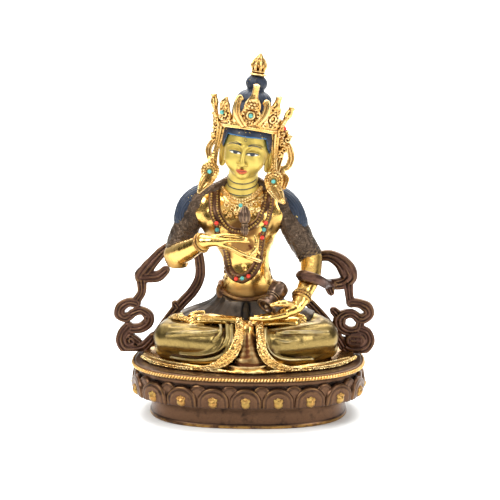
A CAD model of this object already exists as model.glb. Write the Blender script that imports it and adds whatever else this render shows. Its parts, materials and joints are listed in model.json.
import json
import math
import time

import bmesh
import bpy
import numpy as np
from mathutils import Matrix, Vector

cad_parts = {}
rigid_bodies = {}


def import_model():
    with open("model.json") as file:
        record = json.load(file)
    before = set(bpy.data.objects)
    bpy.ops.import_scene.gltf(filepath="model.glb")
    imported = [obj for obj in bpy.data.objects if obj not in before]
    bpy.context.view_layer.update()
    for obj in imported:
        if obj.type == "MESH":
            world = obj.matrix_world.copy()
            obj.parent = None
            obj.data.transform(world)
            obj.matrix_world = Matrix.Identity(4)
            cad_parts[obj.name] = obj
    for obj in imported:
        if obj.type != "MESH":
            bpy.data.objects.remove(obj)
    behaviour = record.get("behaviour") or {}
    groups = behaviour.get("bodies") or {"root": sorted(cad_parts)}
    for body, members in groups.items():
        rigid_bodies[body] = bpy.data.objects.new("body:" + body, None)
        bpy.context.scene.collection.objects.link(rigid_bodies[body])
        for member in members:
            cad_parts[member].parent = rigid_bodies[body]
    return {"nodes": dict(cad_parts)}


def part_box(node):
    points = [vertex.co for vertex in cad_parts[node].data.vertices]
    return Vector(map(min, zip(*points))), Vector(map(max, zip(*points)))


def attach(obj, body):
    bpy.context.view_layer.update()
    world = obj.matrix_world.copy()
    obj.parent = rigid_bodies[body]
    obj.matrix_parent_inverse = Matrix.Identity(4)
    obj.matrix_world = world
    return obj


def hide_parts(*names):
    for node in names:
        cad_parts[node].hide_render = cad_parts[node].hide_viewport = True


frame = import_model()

started = time.time()
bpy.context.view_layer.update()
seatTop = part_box("figure")[0].z
body = "root"
mm = 0.001

# The figure is modelled in millimetres above its seat, the front towards -y.
figurePlace = Matrix.Translation((0, 0, seatTop)) @ Matrix.Scale(mm, 4)

head = {"roll": 8.0, "yaw": -4.0, "bow": 8.0, "place": (-0.6, -3.5, 125.5),
        "crownPlace": (-0.6, -1.5, 125.5)}
headTurn = Matrix.Rotation(math.radians(head["roll"]), 4,
                           "Y") @ Matrix.Rotation(math.radians(head["yaw"]), 4, "Z")
bow = Matrix.Rotation(math.radians(head["bow"]), 4, "X")
headFrame = Matrix.Translation(head["place"]) @ headTurn @ bow
crownFrame = Matrix.Translation(head["crownPlace"]) @ headTurn


def report(stage):
    print("%5.1f s  %s" % (time.time() - started, stage))


# camera, stage and lights

shot = {
    "distance": 0.9, "height": 0.272, "aimHeight": 0.105, "azimuth": 2.0,
    "focal": 1573.0, "frameWidth": 500.0, "shiftRight": -1.7, "shiftDown": 14.8,
}


def setCamera():
    lens = bpy.data.cameras.new("cameraLens")
    lens.sensor_width = 36.0
    lens.lens = lens.sensor_width * shot["focal"] / shot["frameWidth"]
    camera = addThing("camera", lens)
    turn = math.radians(shot["azimuth"])
    camera.location = (shot["distance"] * math.sin(turn), -shot["distance"] * math.cos(turn),
                       shot["height"])
    tilt = math.atan((shot["height"] - shot["aimHeight"]) / shot["distance"])
    tilt += math.atan(shot["shiftDown"] / shot["focal"])
    yaw = turn + math.atan(shot["shiftRight"] / shot["focal"])
    camera.rotation_euler = (math.pi / 2 - tilt, 0, yaw)
    bpy.context.scene.camera = camera


def linear(hexColour):
    # sRGB hex to the linear values that Blender wants
    parts = [int(hexColour[i:i + 2], 16) / 255 for i in (1, 3, 5)]
    return (*[c / 12.92 if c <= 0.04045 else ((c + 0.055) / 1.055) ** 2.4 for c in parts], 1.0)


def addNode(tree, kind, inputs=None, **settings):
    # a node given as an input stands for its first output
    made = tree.nodes.new(kind)
    for name, value in settings.items():
        setattr(made, name, value)
    for name, value in (inputs or {}).items():
        if isinstance(value, bpy.types.Node):
            value = value.outputs[0]
        if isinstance(value, bpy.types.NodeSocket):
            tree.links.new(value, made.inputs[name])
        else:
            made.inputs[name].default_value = value
    return made


def addThing(name, data):
    thing = bpy.data.objects.new(name, data)
    bpy.context.scene.collection.objects.link(thing)
    return thing


def newMesh(name, verts, edges, faces):
    mesh = bpy.data.meshes.new(name)
    mesh.from_pydata(verts, edges, faces)
    return mesh


def newMaterial(name):
    material = bpy.data.materials.new(name)
    material.use_nodes = True
    material.node_tree.nodes.clear()
    return material, material.node_tree


stageLook = {
    "floor": "#F8F8F6", "skyStrength": 0.9, "size": 16.0, "front": -2.4, "back": 1.6, "bend": 0.5,
    "bendSteps": 12, "wallTop": 3.0, "sunk": 0.0001, "dimAt": 0.46, "dim": (0.07, 0.065, 0.06, 1),
    "brightAt": 0.72, "bright": (1.0, 1.0, 1.0, 1), "lampsAim": (0, 0, 0.1),
}


def setStage():
    # a pale sweep: floor that bends up into a backdrop well behind the statue
    rows = [(stageLook["front"], 0.0), (stageLook["back"] - stageLook["bend"], 0.0)]
    for i in range(1, stageLook["bendSteps"] + 1):
        a = math.pi / 2 * i / stageLook["bendSteps"]
        rows.append((stageLook["back"] - stageLook["bend"] * (1 - math.sin(a)),
                     stageLook["bend"] * (1 - math.cos(a))))
    rows.append((stageLook["back"], stageLook["wallTop"]))
    half = stageLook["size"] / 2
    verts = [(x, y, z - stageLook["sunk"]) for y, z in rows for x in (-half, half)]
    faces = [(2 * i, 2 * i + 1, 2 * i + 3, 2 * i + 2) for i in range(len(rows) - 1)]
    mesh = newMesh("sweep", verts, [], faces)
    mesh.shade_smooth()
    sweep = addThing("sweep", mesh)
    material, tree = newMaterial("paleBackdropPaper")
    shader = addNode(tree, "ShaderNodeBsdfPrincipled", {"Base Color": linear(stageLook["floor"]),
                                                        "Roughness": 0.9, "Specular IOR Level": 0.1})
    addNode(tree, "ShaderNodeOutputMaterial", {"Surface": shader})
    mesh.materials.append(material)


def setLights():
    world = bpy.data.worlds.new("studioAir")
    world.use_nodes = True
    bpy.context.scene.world = world
    tree = world.node_tree
    tree.nodes.clear()
    # bright above, darker at the sides and below, so that polished gold has something to mirror
    place = addNode(tree, "ShaderNodeTexCoord")
    split = addNode(tree, "ShaderNodeSeparateXYZ", {0: place.outputs["Generated"]})
    ramp = addNode(tree, "ShaderNodeValToRGB", {0: split.outputs["Z"]})
    for stop, key in zip(ramp.color_ramp.elements, ("dim", "bright")):
        stop.position = stageLook[key + "At"]
        stop.color = stageLook[key]
    air = addNode(tree, "ShaderNodeBackground", {"Color": ramp, "Strength": stageLook["skyStrength"]})
    addNode(tree, "ShaderNodeOutputWorld", {"Surface": air})
    softBoxes = [
        ("keyBox", (-0.8, -0.8, 1.0), (0.7, 0.6), 14.5),
        ("fillBox", (0.95, -0.75, 0.6), (0.45, 0.8), 7.5),
        ("topBox", (0.0, 0.35, 1.4), (1.4, 1.0), 25.0),
        ("backBox", (0.0, 1.1, 1.1), (2.2, 0.8), 32.0),
    ]
    for name, place, size, power in softBoxes:
        lamp = bpy.data.lights.new(name, "AREA")
        lamp.shape = "RECTANGLE"
        lamp.size, lamp.size_y = size
        lamp.energy = power
        box = addThing(name, lamp)
        box.location = place
        aim = Vector(stageLook["lampsAim"]) - Vector(place)
        box.rotation_euler = aim.to_track_quat("-Z", "Y").to_euler()
    bpy.context.scene.view_settings.view_transform = "Standard"  # keeps the gold as deep as in daylight


setCamera()
setStage()
setLights()
report("camera, stage and lights")


# modelling clay: forms melted together in a field of distances, then skinned

def rowsOf(matrix):
    return [list(row) for row in matrix]


def moved(matrix, x, y, z):
    return [matrix[r][0] * x + matrix[r][1] * y + matrix[r][2] * z + matrix[r][3] for r in range(3)]


def softMin(a, b, blend):
    if blend <= 0:
        return np.minimum(a, b)
    near = np.maximum(blend - np.abs(a - b), 0) / blend
    return np.minimum(a, b) - near * near * blend * 0.25


def curvePoints(points, steps):
    # Catmull-Rom through rows of values, of any length
    rows = np.array(points, float)
    padded = np.vstack([rows[:1], rows, rows[-1:]])
    t = np.arange(steps)[:, None] / steps
    filled = []
    for a, b, c, d in zip(padded, padded[1:], padded[2:], padded[3:]):
        filled.append(0.5 * (2 * b + (c - a) * t + (2 * a - 5 * b + 4 * c - d) * t ** 2
                             + (3 * b - a - 3 * c + d) * t ** 3))
    return np.vstack([*filled, rows[-1:]])


def ball(centre, radii, at=None):
    pose = (at or Matrix()) @ Matrix.Translation(centre)
    inverse = rowsOf(pose.inverted())
    reach = np.array([math.sqrt(sum((pose[r][c] * radii[c]) ** 2 for c in range(3))) for r in range(3)])
    middle = np.array(pose.translation)

    def measure(x, y, z):
        u, v, w = moved(inverse, x, y, z)
        near = np.sqrt((u / radii[0]) ** 2 + (v / radii[1]) ** 2 + (w / radii[2]) ** 2)
        slope = np.sqrt((u / radii[0] ** 2) ** 2 + (v / radii[1] ** 2) ** 2 + (w / radii[2] ** 2) ** 2)
        return near * (near - 1) / np.maximum(slope, 1e-6)

    return [(middle - reach, middle + reach, measure)]


def tube(points, flat=(1, 1, 1), steps=4, at=None):
    # a round or flattened run through (x, y, z, radius) rows, with round ends
    rows = curvePoints(points, steps)
    pose = (at or Matrix()) @ Matrix.Diagonal((*flat, 1))
    inverse = rowsOf(pose.inverted())
    rows[:, :3] /= np.array(flat)
    shrink = min(flat)
    parts = []
    for a, b in zip(rows.tolist(), rows[1:].tolist()):
        ends = np.array([pose @ Vector(a[:3]), pose @ Vector(b[:3])])
        reach = max(a[3], b[3]) * max(flat)
        parts.append((ends.min(0) - reach, ends.max(0) + reach, capsule(a, b, inverse, shrink)))
    return parts


def mirrored(rows, side):
    return [(x * side, y, z, r) for x, y, z, r in rows]


def capsule(a, b, inverse, shrink):
    run = [q - p for p, q in zip(a, b)]
    length = max(run[0] ** 2 + run[1] ** 2 + run[2] ** 2, 1e-9)

    def measure(x, y, z):
        u, v, w = moved(inverse, x, y, z)
        u, v, w = u - a[0], v - a[1], w - a[2]
        t = np.clip((u * run[0] + v * run[1] + w * run[2]) / length, 0, 1)
        away = np.sqrt((u - t * run[0]) ** 2 + (v - t * run[1]) ** 2 + (w - t * run[2]) ** 2)
        return (away - a[3] - t * run[3]) * shrink

    return measure


def strap(points, thick, ridges=1.5, relief=0.16, steps=5):
    # a flat band that bends in the plane of the front, with ridges along it
    rows = curvePoints(points, steps)
    parts = []
    for a, b in zip(rows.tolist(), rows[1:].tolist()):
        ends = np.array([Vector(a[:3]), Vector(b[:3])])
        reach = max(a[3], b[3], 1.0)
        parts.append((ends.min(0) - reach, ends.max(0) + reach, flatRun(a, b, thick, ridges, relief)))
    return parts


def flatRun(a, b, thick, ridges, relief):
    run = [q - p for p, q in zip(a, b)]
    length = max(run[0] ** 2 + run[2] ** 2, 1e-9)

    def measure(x, y, z):
        u, w = x - a[0], z - a[2]
        t = np.clip((u * run[0] + w * run[2]) / length, 0, 1)
        across = np.sqrt((u - t * run[0]) ** 2 + (w - t * run[2]) ** 2)
        half = a[3] + t * run[3]
        share = across / half
        depth = half * thick * (1 + relief * np.cos(2 * math.pi * ridges * np.minimum(share, 1)))
        level = np.abs(y - a[1] - t * run[1]) / depth
        return ((share ** 3 + level ** 3) ** (1 / 3) - 1) * np.minimum(half, depth)

    return measure


def ring(centre, radius, thick, at=None, tall=1.0):
    # a hoop that faces the front
    pose = (at or Matrix()) @ Matrix.Translation(centre)
    inverse = rowsOf(pose.inverted())
    corners = np.array([pose @ Vector((sx * (radius + thick), sy * thick, sz * (radius * tall + thick)))
                        for sx in (-1, 1) for sy in (-1, 1) for sz in (-1, 1)])

    def measure(x, y, z):
        u, v, w = moved(inverse, x, y, z)
        return np.sqrt((np.sqrt(u ** 2 + (w / tall) ** 2) - radius) ** 2 + v ** 2) - thick

    return [(corners.min(0), corners.max(0), measure)]


def curl(centre, start, end, turns, angle, thick, at=None, hand=1, taper=0.8):
    # a scroll in the plane of the front, from its outer end to its eye
    rows = []
    count = max(8, int(abs(turns) * 14))
    for i in range(count + 1):
        share = i / count
        a = math.radians(angle) + hand * 2 * math.pi * turns * share
        reach = start + (end - start) * share
        rows.append((centre[0] + reach * math.cos(a), centre[1] - 0.25 * share,
                     centre[2] + reach * math.sin(a), thick * (1 + (taper - 1) * share)))
    return tube(rows, steps=1, at=at)


def hoopOfBalls(centre, radius, size, count, at=None):
    parts = []
    for i in range(count):
        a = 2 * math.pi * i / count
        parts += ball((centre[0] + radius * math.cos(a), centre[1], centre[2] + radius * math.sin(a)),
                      (size, size, size), at=at)
    return parts


class Clay:
    def __init__(self, low, high, cell):
        self.low = [float(v) for v in low]
        self.cell = cell
        self.size = [int(math.ceil((h - l) / cell)) + 1 for l, h in zip(low, high)]
        self.field = np.full(self.size, 6.0, np.float32)

    def window(self, low, high):
        spans = []
        for axis in range(3):
            a = int(math.floor((low[axis] - self.low[axis]) / self.cell))
            b = int(math.ceil((high[axis] - self.low[axis]) / self.cell)) + 1
            a = min(max(a, 0), self.size[axis])
            spans.append(slice(a, max(min(b, self.size[axis]), a)))
        return tuple(spans)

    def axes(self, spans):
        shapes = [(-1, 1, 1), (1, -1, 1), (1, 1, -1)]
        steps = [np.arange(span.start, span.stop, dtype=np.float32) for span in spans]
        return [(low + self.cell * step).astype(np.float32).reshape(shape) for low, step,
                shape in zip(self.low, steps, shapes)]

    def measured(self, shape, blend):
        reach = blend + 3 * self.cell
        low = np.min([part[0] for part in shape], axis=0) - reach
        high = np.max([part[1] for part in shape], axis=0) + reach
        outer = self.window(low, high)
        near = np.full([s.stop - s.start for s in outer], 9.0, np.float32)
        for partLow, partHigh, measure in shape:
            inner = self.window(partLow - reach, partHigh + reach)
            if all(s.stop > s.start for s in inner):
                here = tuple(slice(i.start - o.start, i.stop - o.start) for i, o in zip(inner, outer))
                near[here] = np.minimum(near[here], measure(*self.axes(inner)))
        return outer, near

    def add(self, shape, blend=0.0):
        spans, near = self.measured(shape, blend)
        self.field[spans] = softMin(self.field[spans], near, blend)

    def dig(self, shape, blend=0.0):
        spans, near = self.measured(shape, blend)
        self.field[spans] = -softMin(-self.field[spans], near, blend)

    def press(self, amount, low=None, high=None):
        # positive amounts sink the skin, negative ones raise it
        spans = self.window(self.low if low is None else low,
                            [l + s * self.cell for l, s in zip(self.low, self.size)]
                            if high is None else high)
        self.field[spans] += amount(*self.axes(spans)).astype(np.float32)

    def keep(self, measure):
        spans = tuple(slice(0, s) for s in self.size)
        self.field = np.maximum(self.field, measure(*self.axes(spans)).astype(np.float32))

    def frontAt(self, x, z, offset=0.0):
        # where the skin is, seen from the front
        i = min(max(int(round((x - self.low[0]) / self.cell)), 0), self.size[0] - 1)
        k = min(max(int(round((z - self.low[2]) / self.cell)), 0), self.size[2] - 1)
        column = self.field[i, :, k]
        found = np.flatnonzero(column < 0)
        if not len(found):
            return self.low[1] + self.cell * self.size[1] / 2
        j = max(int(found[0]), 1)
        share = column[j - 1] / (column[j - 1] - column[j])
        return float(self.low[1] + self.cell * (j - 1 + share) + offset)


def softened(values, reach):
    # running mean along each axis, twice over
    for axis in (0, 1, 2, 0, 1, 2):
        edge = [(0, 0)] * 3
        edge[axis] = (reach + 1, reach)
        sums = np.cumsum(np.pad(values, edge, mode="edge"), axis=axis, dtype=np.float32)
        ahead, behind = [slice(None)] * 3, [slice(None)] * 3
        ahead[axis] = slice(2 * reach + 1, None)
        behind[axis] = slice(0, -(2 * reach + 1))
        values = (sums[tuple(ahead)] - sums[tuple(behind)]) / (2 * reach + 1)
    return values


def sampled(values, places):
    # values between the cells at places given in cells
    top = np.array(values.shape) - 2
    corner = np.clip(np.floor(places).astype(int), 0, top)
    share = np.clip(places - corner, 0, 1)
    total = np.zeros(len(places))
    for dx in (0, 1):
        for dy in (0, 1):
            for dz in (0, 1):
                weight = (np.abs(1 - dx - share[:, 0]) * np.abs(1 - dy - share[:, 1])
                          * np.abs(1 - dz - share[:, 2]))
                total += weight * values[corner[:, 0] + dx, corner[:, 1] + dy, corner[:, 2] + dz]
    return total


def skinOf(clay):
    # one vertex in each cell that the surface crosses, one quad round each crossed edge
    field = clay.field
    for axis in range(3):
        edge = [slice(None)] * 3
        for end in (0, -1):
            edge[axis] = end
            field[tuple(edge)] = 1.0
    inside = field < 0
    size = np.array(field.shape)
    stride = np.array([size[1] * size[2], size[2], 1])
    cells, points = [], []
    for axis in range(3):
        low, high = [slice(None)] * 3, [slice(None)] * 3
        low[axis], high[axis] = slice(0, -1), slice(1, None)
        crossed = np.argwhere(inside[tuple(low)] != inside[tuple(high)])
        unit = np.eye(3, dtype=int)[axis]
        flat = crossed @ stride
        near, far = field.ravel()[flat], field.ravel()[flat + stride[axis]]
        point = crossed + (near / (near - far))[:, None] * unit
        u, v = stride[(axis + 1) % 3], stride[(axis + 2) % 3]
        around = np.stack([flat - u - v, flat - v, flat, flat - u], axis=1)
        around[near > 0] = around[near > 0][:, ::-1]
        cells.append(around.ravel())
        points.append(np.repeat(point, 4, axis=0))
    cells = np.concatenate(cells)
    points = np.concatenate(points)
    names, inverse = np.unique(cells, return_inverse=True)
    count = np.bincount(inverse)
    middle = np.stack([np.bincount(inverse, weights=points[:, i]) / count for i in range(3)], axis=1)
    return middle, inverse.reshape(-1, 4)


def addLayers(mesh, layers):
    for key, values in layers.items():
        layer = mesh.attributes.new(key, "FLOAT", "POINT")
        layer.data.foreach_set("value", np.asarray(values, np.float32))


def pieceFromClay(name, clay, finish, nodes=("figure",), at=None, paints=None):
    places, quads = skinOf(clay)
    filled = np.clip(0.5 - clay.field / clay.cell, 0, 1)
    fine = sampled(softened(filled, 1), places)
    coarse = sampled(softened(filled[::2, ::2, ::2], 2), places / 2)
    local = places * clay.cell + np.array(clay.low)
    matrix = np.array(figurePlace @ (at or Matrix()))
    world = local @ matrix[:3, :3].T + matrix[:3, 3]
    mesh = bpy.data.meshes.new(name)
    mesh.vertices.add(len(world))
    mesh.vertices.foreach_set("co", world.ravel())
    mesh.loops.add(quads.size)
    mesh.loops.foreach_set("vertex_index", quads.ravel())
    mesh.polygons.add(len(quads))
    mesh.polygons.foreach_set("loop_start", np.arange(0, quads.size, 4))
    mesh.polygons.foreach_set("loop_total", np.full(len(quads), 4))
    mesh.update(calc_edges=True)
    mesh.validate()
    mesh.shade_smooth()
    layers = {"fineHollow": fine, "wideHollow": coarse}
    layers.update({key: paint(local) for key, paint in (paints or {}).items()})
    addLayers(mesh, layers)
    showPiece(name, mesh, finish, nodes)
    report("%s, %d triangles" % (name, 2 * len(quads)))


def showPiece(name, mesh, finish, nodes=("figure",)):
    mesh.materials.clear()
    mesh.materials.append(finishes[finish])
    piece = addThing(name, mesh)
    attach(piece, body)
    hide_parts(*nodes)


# finishes

def metalFinish(name, look):
    # metal with a patina: deep colour in the hollows, bright metal on the rubbed parts
    material, tree = newMaterial(name)
    place = addNode(tree, "ShaderNodeTexCoord").outputs["Object"]
    fine = addNode(tree, "ShaderNodeAttribute", attribute_name="fineHollow").outputs["Fac"]
    wide = addNode(tree, "ShaderNodeAttribute", attribute_name="wideHollow").outputs["Fac"]
    cloud = addNode(tree, "ShaderNodeTexNoise", {"Vector": place, "Scale": 1000 / look["patchSize"],
                                                 "Detail": 5.0, "Roughness": 0.6})
    grain = addNode(tree, "ShaderNodeTexNoise", {"Vector": place, "Scale": 1000 / look["grainSize"],
                                                 "Detail": 3.0})
    inFine = addNode(tree, "ShaderNodeMapRange", {"Value": fine, "From Min": look["hollow"][0],
                                                  "From Max": look["hollow"][1]})
    inWide = addNode(tree, "ShaderNodeMapRange", {"Value": wide, "From Min": 0.56, "From Max": 0.82,
                                                  "To Max": look["wideShare"]})
    patches = addNode(tree, "ShaderNodeMapRange", {"Value": cloud, "From Min": look["patches"][0],
                                                   "From Max": look["patches"][1]})
    brushed = addNode(tree, "ShaderNodeAttribute", attribute_name="stained").outputs["Fac"]
    most = addNode(tree, "ShaderNodeMath", {0: inFine, 1: inWide}, operation="ADD")
    more = addNode(tree, "ShaderNodeMath", {0: most, 1: brushed}, operation="ADD")
    stain = addNode(tree, "ShaderNodeMath", {0: more, 1: patches}, operation="ADD", use_clamp=True)
    tone = addNode(tree, "ShaderNodeMix", {0: grain, 6: linear(look["metal"]), 7: linear(look["metal2"])},
                   data_type="RGBA")
    colour = addNode(tree, "ShaderNodeMix", {0: stain, 6: tone.outputs[2], 7: linear(look["deep"])},
                     data_type="RGBA")
    rubbed = addNode(tree, "ShaderNodeMapRange", {"Value": fine, "From Min": look["edge"][0],
                                                  "From Max": look["edge"][1], "To Min": look["edgeShare"],
                                                  "To Max": 0.0})
    glint = addNode(tree, "ShaderNodeMapRange", {"Value": cloud, "From Min": 0.40, "From Max": 0.58})
    worn = addNode(tree, "ShaderNodeMath", {0: rubbed, 1: glint}, operation="MULTIPLY", use_clamp=True)
    shown = addNode(tree, "ShaderNodeMix", {0: worn, 6: colour.outputs[2], 7: linear(look["bright"])},
                    data_type="RGBA")
    rough = addNode(tree, "ShaderNodeMapRange", {"Value": stain, "To Min": look["rough"][0],
                                                 "To Max": look["rough"][1]})
    speckle = addNode(tree, "ShaderNodeMath", {0: grain, 1: 0.18, 2: rough}, operation="MULTIPLY_ADD")
    lower = addNode(tree, "ShaderNodeMath", {0: speckle, 1: 0.09}, operation="SUBTRACT", use_clamp=True)
    waves = addNode(tree, "ShaderNodeTexNoise", {"Vector": place, "Scale": 1000 / look["waveSize"],
                                                 "Detail": 2.0})
    swell = addNode(tree, "ShaderNodeBump", {"Height": waves, "Strength": 1.0,
                                             "Distance": look["wave"] * mm})
    relief = addNode(tree, "ShaderNodeBump", {"Height": grain, "Normal": swell, "Strength": 1.0,
                                              "Distance": look["grain"] * mm})
    last = relief
    if "engraving" in look:
        # chased scrolls: rings of lines round scattered centres, a few tenths of a millimetre wide
        eyes = addNode(tree, "ShaderNodeTexVoronoi", {"Vector": place, "Scale": 1000 / look["engraving"]})
        wind = addNode(tree, "ShaderNodeMath", {0: eyes.outputs["Distance"], 1: 15.0}, operation="MULTIPLY")
        lines = addNode(tree, "ShaderNodeMath", {0: wind}, operation="SINE")
        last = addNode(tree, "ShaderNodeBump", {"Height": lines, "Normal": relief, "Strength": 1.0,
                                                "Distance": 0.10 * mm})
    shader = addNode(tree, "ShaderNodeBsdfPrincipled", {
        "Base Color": shown.outputs[2], "Roughness": lower, "Normal": last,
        "Metallic": look["metallic"]})
    addNode(tree, "ShaderNodeOutputMaterial", {"Surface": shader})
    return material


# mercury-gilded copper, burnished: deep yellow mirror with red-brown copper oxide in the hollows
fireGilding = {
    "metal": "#E6C074", "metal2": "#CDA050", "deep": "#552F1E", "bright": "#FBE3A4", "patchSize": 8.0,
    "grainSize": 0.7, "hollow": (0.52, 0.65), "wideShare": 0.8, "patches": (0.56, 0.80),
    "edge": (0.36, 0.47), "edgeShare": 0.5, "rough": (0.22, 0.5), "waveSize": 5.0, "wave": 0.3,
    "grain": 0.014, "metallic": 1.0,
}
# the same gilding left unburnished over cast ornament, rubbed bright on the high points
ornamentGilding = dict(fireGilding, metal="#DDB369", metal2="#BC8846", deep="#56331F", hollow=(0.50, 0.61),
                       edge=(0.38, 0.50), edgeShare=0.8, rough=(0.28, 0.52), wave=0.05, waveSize=3.0)
# gilding toned with a brown-green lacquer, satin
tonedGilding = dict(fireGilding, metal="#97824F", metal2="#79653A", deep="#463221", bright="#C9BB93",
                    rough=(0.30, 0.44), patches=(0.52, 0.78), wideShare=0.9, wave=0.5,
                    waveSize=10.0, grain=0.03)
# copper with a red-brown heat patina, thin enough to shine, gold left in a few places
oxidisedCopper = {
    "metal": "#674933", "metal2": "#4C3627", "deep": "#211611", "bright": "#C2944F", "patchSize": 6.0,
    "grainSize": 0.6, "hollow": (0.51, 0.62), "wideShare": 0.6, "patches": (0.54, 0.80),
    "edge": (0.36, 0.47), "edgeShare": 0.75, "rough": (0.34, 0.5), "waveSize": 5.0, "wave": 0.12,
    "grain": 0.02, "metallic": 0.85,
}
# copper smoked darker and greyer, as on sleeves and lap cloth
smokedCopper = dict(oxidisedCopper, metal="#5E4C3D", metal2="#453A30", deep="#1E1814", bright="#AD8C55",
                    patches=(0.52, 0.78), rough=(0.38, 0.55), edgeShare=0.6, engraving=3.0)
# the scarves: a thicker red-brown patina, with a little gold left along the edges
reddenedCopper = dict(oxidisedCopper, metal="#5F4133", metal2="#46322A", deep="#2A1B15", bright="#A07C4C",
                      patches=(0.50, 0.76), rough=(0.36, 0.52), edgeShare=0.4)
# the lap cloth: the darkest patina, blue-grey where it is thickest
darkenedCopper = dict(oxidisedCopper, metal="#4C4238", metal2="#38322D", deep="#14110F", bright="#AD8C55",
                      patches=(0.52, 0.78), rough=(0.38, 0.55), edgeShare=0.45)
# cloth hems cast with the figure: gilding with a chased pattern
chasedGilding = dict(ornamentGilding, engraving=2.6, rough=(0.24, 0.44), patches=(0.56, 0.8))
# gilding mostly rubbed through to brown copper
wornGilding = dict(ornamentGilding, metal="#B08344", metal2="#7F5837", deep="#40281D", bright="#E8C26C",
                   patches=(0.46, 0.64), patchSize=5.0, rough=(0.3, 0.5))
# strings of copper beads: brown, with a glint of gold left on most
beadGilding = dict(wornGilding, metal="#A07747", metal2="#5E412E", patches=(0.42, 0.6), patchSize=2.4)
# cast bronze under an old oiled patina, nearly black in the hollows
darkBronze = dict(oxidisedCopper, metal="#755D4B", metal2="#57453A", deep="#1E1613", bright="#B8996F",
                  rough=(0.3, 0.48), edgeShare=0.7)

# each finish with its look and its slot
metals = {
    "fireGiltCopper": (fireGilding, "gilded_copper"),
    "ornamentGiltCopper": (ornamentGilding, "gilded_copper"),
    "tonedOliveGilding": (tonedGilding, "olive_gilding"),
    "oxidisedCopper": (oxidisedCopper, "oxidised_copper"),
    "smokedCopper": (smokedCopper, "oxidised_copper"),
    "reddenedCopper": (reddenedCopper, "oxidised_copper"),
    "darkenedCopper": (darkenedCopper, "oxidised_copper"),
    "beadGilding": (beadGilding, "gilded_copper"),
    "chasedGiltCopper": (chasedGilding, "gilded_copper"),
    "wornGiltCopper": (wornGilding, "gilded_copper"),
    "patinatedBronze": (darkBronze, "dark_bronze"),
}
finishes, slots = {}, {}
for name, (look, slot) in metals.items():
    finishes[name], slots[name] = metalFinish(name, look), slot

goldPaint = {"gold": "#CDB55C", "gold2": "#BBA24C", "dust": "#7D682C", "ink": "#14202B", "white": "#F4EFE4",
             "red": "#B0312B", "rough": 0.42}


def matteGoldPaint():
    # cold gold: powdered gold in glue brushed over the gilding, matte, with fine brush grain
    material, tree = newMaterial("matteColdGoldPaint")
    place = addNode(tree, "ShaderNodeTexCoord").outputs["Object"]
    layers = {key: addNode(tree, "ShaderNodeAttribute", attribute_name=key).outputs["Fac"]
              for key in ("inkPaint", "whitePaint", "redPaint", "fineHollow", "wideHollow")}
    cloud = addNode(tree, "ShaderNodeTexNoise", {"Vector": place, "Scale": 160.0, "Detail": 5.0})
    grain = addNode(tree, "ShaderNodeTexNoise", {"Vector": place, "Scale": 1700.0, "Detail": 3.0})
    tone = addNode(tree, "ShaderNodeMix", {0: cloud, 6: linear(goldPaint["gold"]),
                                           7: linear(goldPaint["gold2"])}, data_type="RGBA")
    dusty = addNode(tree, "ShaderNodeMapRange", {"Value": layers["fineHollow"], "From Min": 0.53,
                                                 "From Max": 0.66, "To Max": 0.7})
    deep = addNode(tree, "ShaderNodeMapRange", {"Value": layers["wideHollow"], "From Min": 0.54,
                                                "From Max": 0.74, "To Max": 0.5})
    both = addNode(tree, "ShaderNodeMath", {0: dusty, 1: deep}, operation="ADD", use_clamp=True)
    colour = addNode(tree, "ShaderNodeMix", {0: both, 6: tone.outputs[2], 7: linear(goldPaint["dust"])},
                     data_type="RGBA")
    for key, paint in (("whitePaint", "white"), ("redPaint", "red"), ("inkPaint", "ink")):
        colour = addNode(tree, "ShaderNodeMix", {0: layers[key], 6: colour.outputs[2],
                                                 7: linear(goldPaint[paint])}, data_type="RGBA")
    painted = addNode(tree, "ShaderNodeMath", {0: layers["inkPaint"], 1: layers["whitePaint"]},
                      operation="ADD", use_clamp=True)
    bare = addNode(tree, "ShaderNodeMapRange", {"Value": painted, "To Min": 0.62, "To Max": 0.0})
    relief = addNode(tree, "ShaderNodeBump", {"Height": grain, "Strength": 1.0, "Distance": 0.02 * mm})
    shader = addNode(tree, "ShaderNodeBsdfPrincipled", {
        "Base Color": colour.outputs[2], "Metallic": bare, "Roughness": goldPaint["rough"],
        "Normal": relief})
    addNode(tree, "ShaderNodeOutputMaterial", {"Surface": shader})
    return material


finishes["matteColdGoldPaint"], slots["matteColdGoldPaint"] = matteGoldPaint(), "matte_gold_paint"

bluePaint = {"blue": "#0E2038", "blue2": "#0A1728", "edge": "#1A3350", "line": "#2E6FA3",
             "gold": "#C9AE5E", "rough": 0.5}


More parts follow.
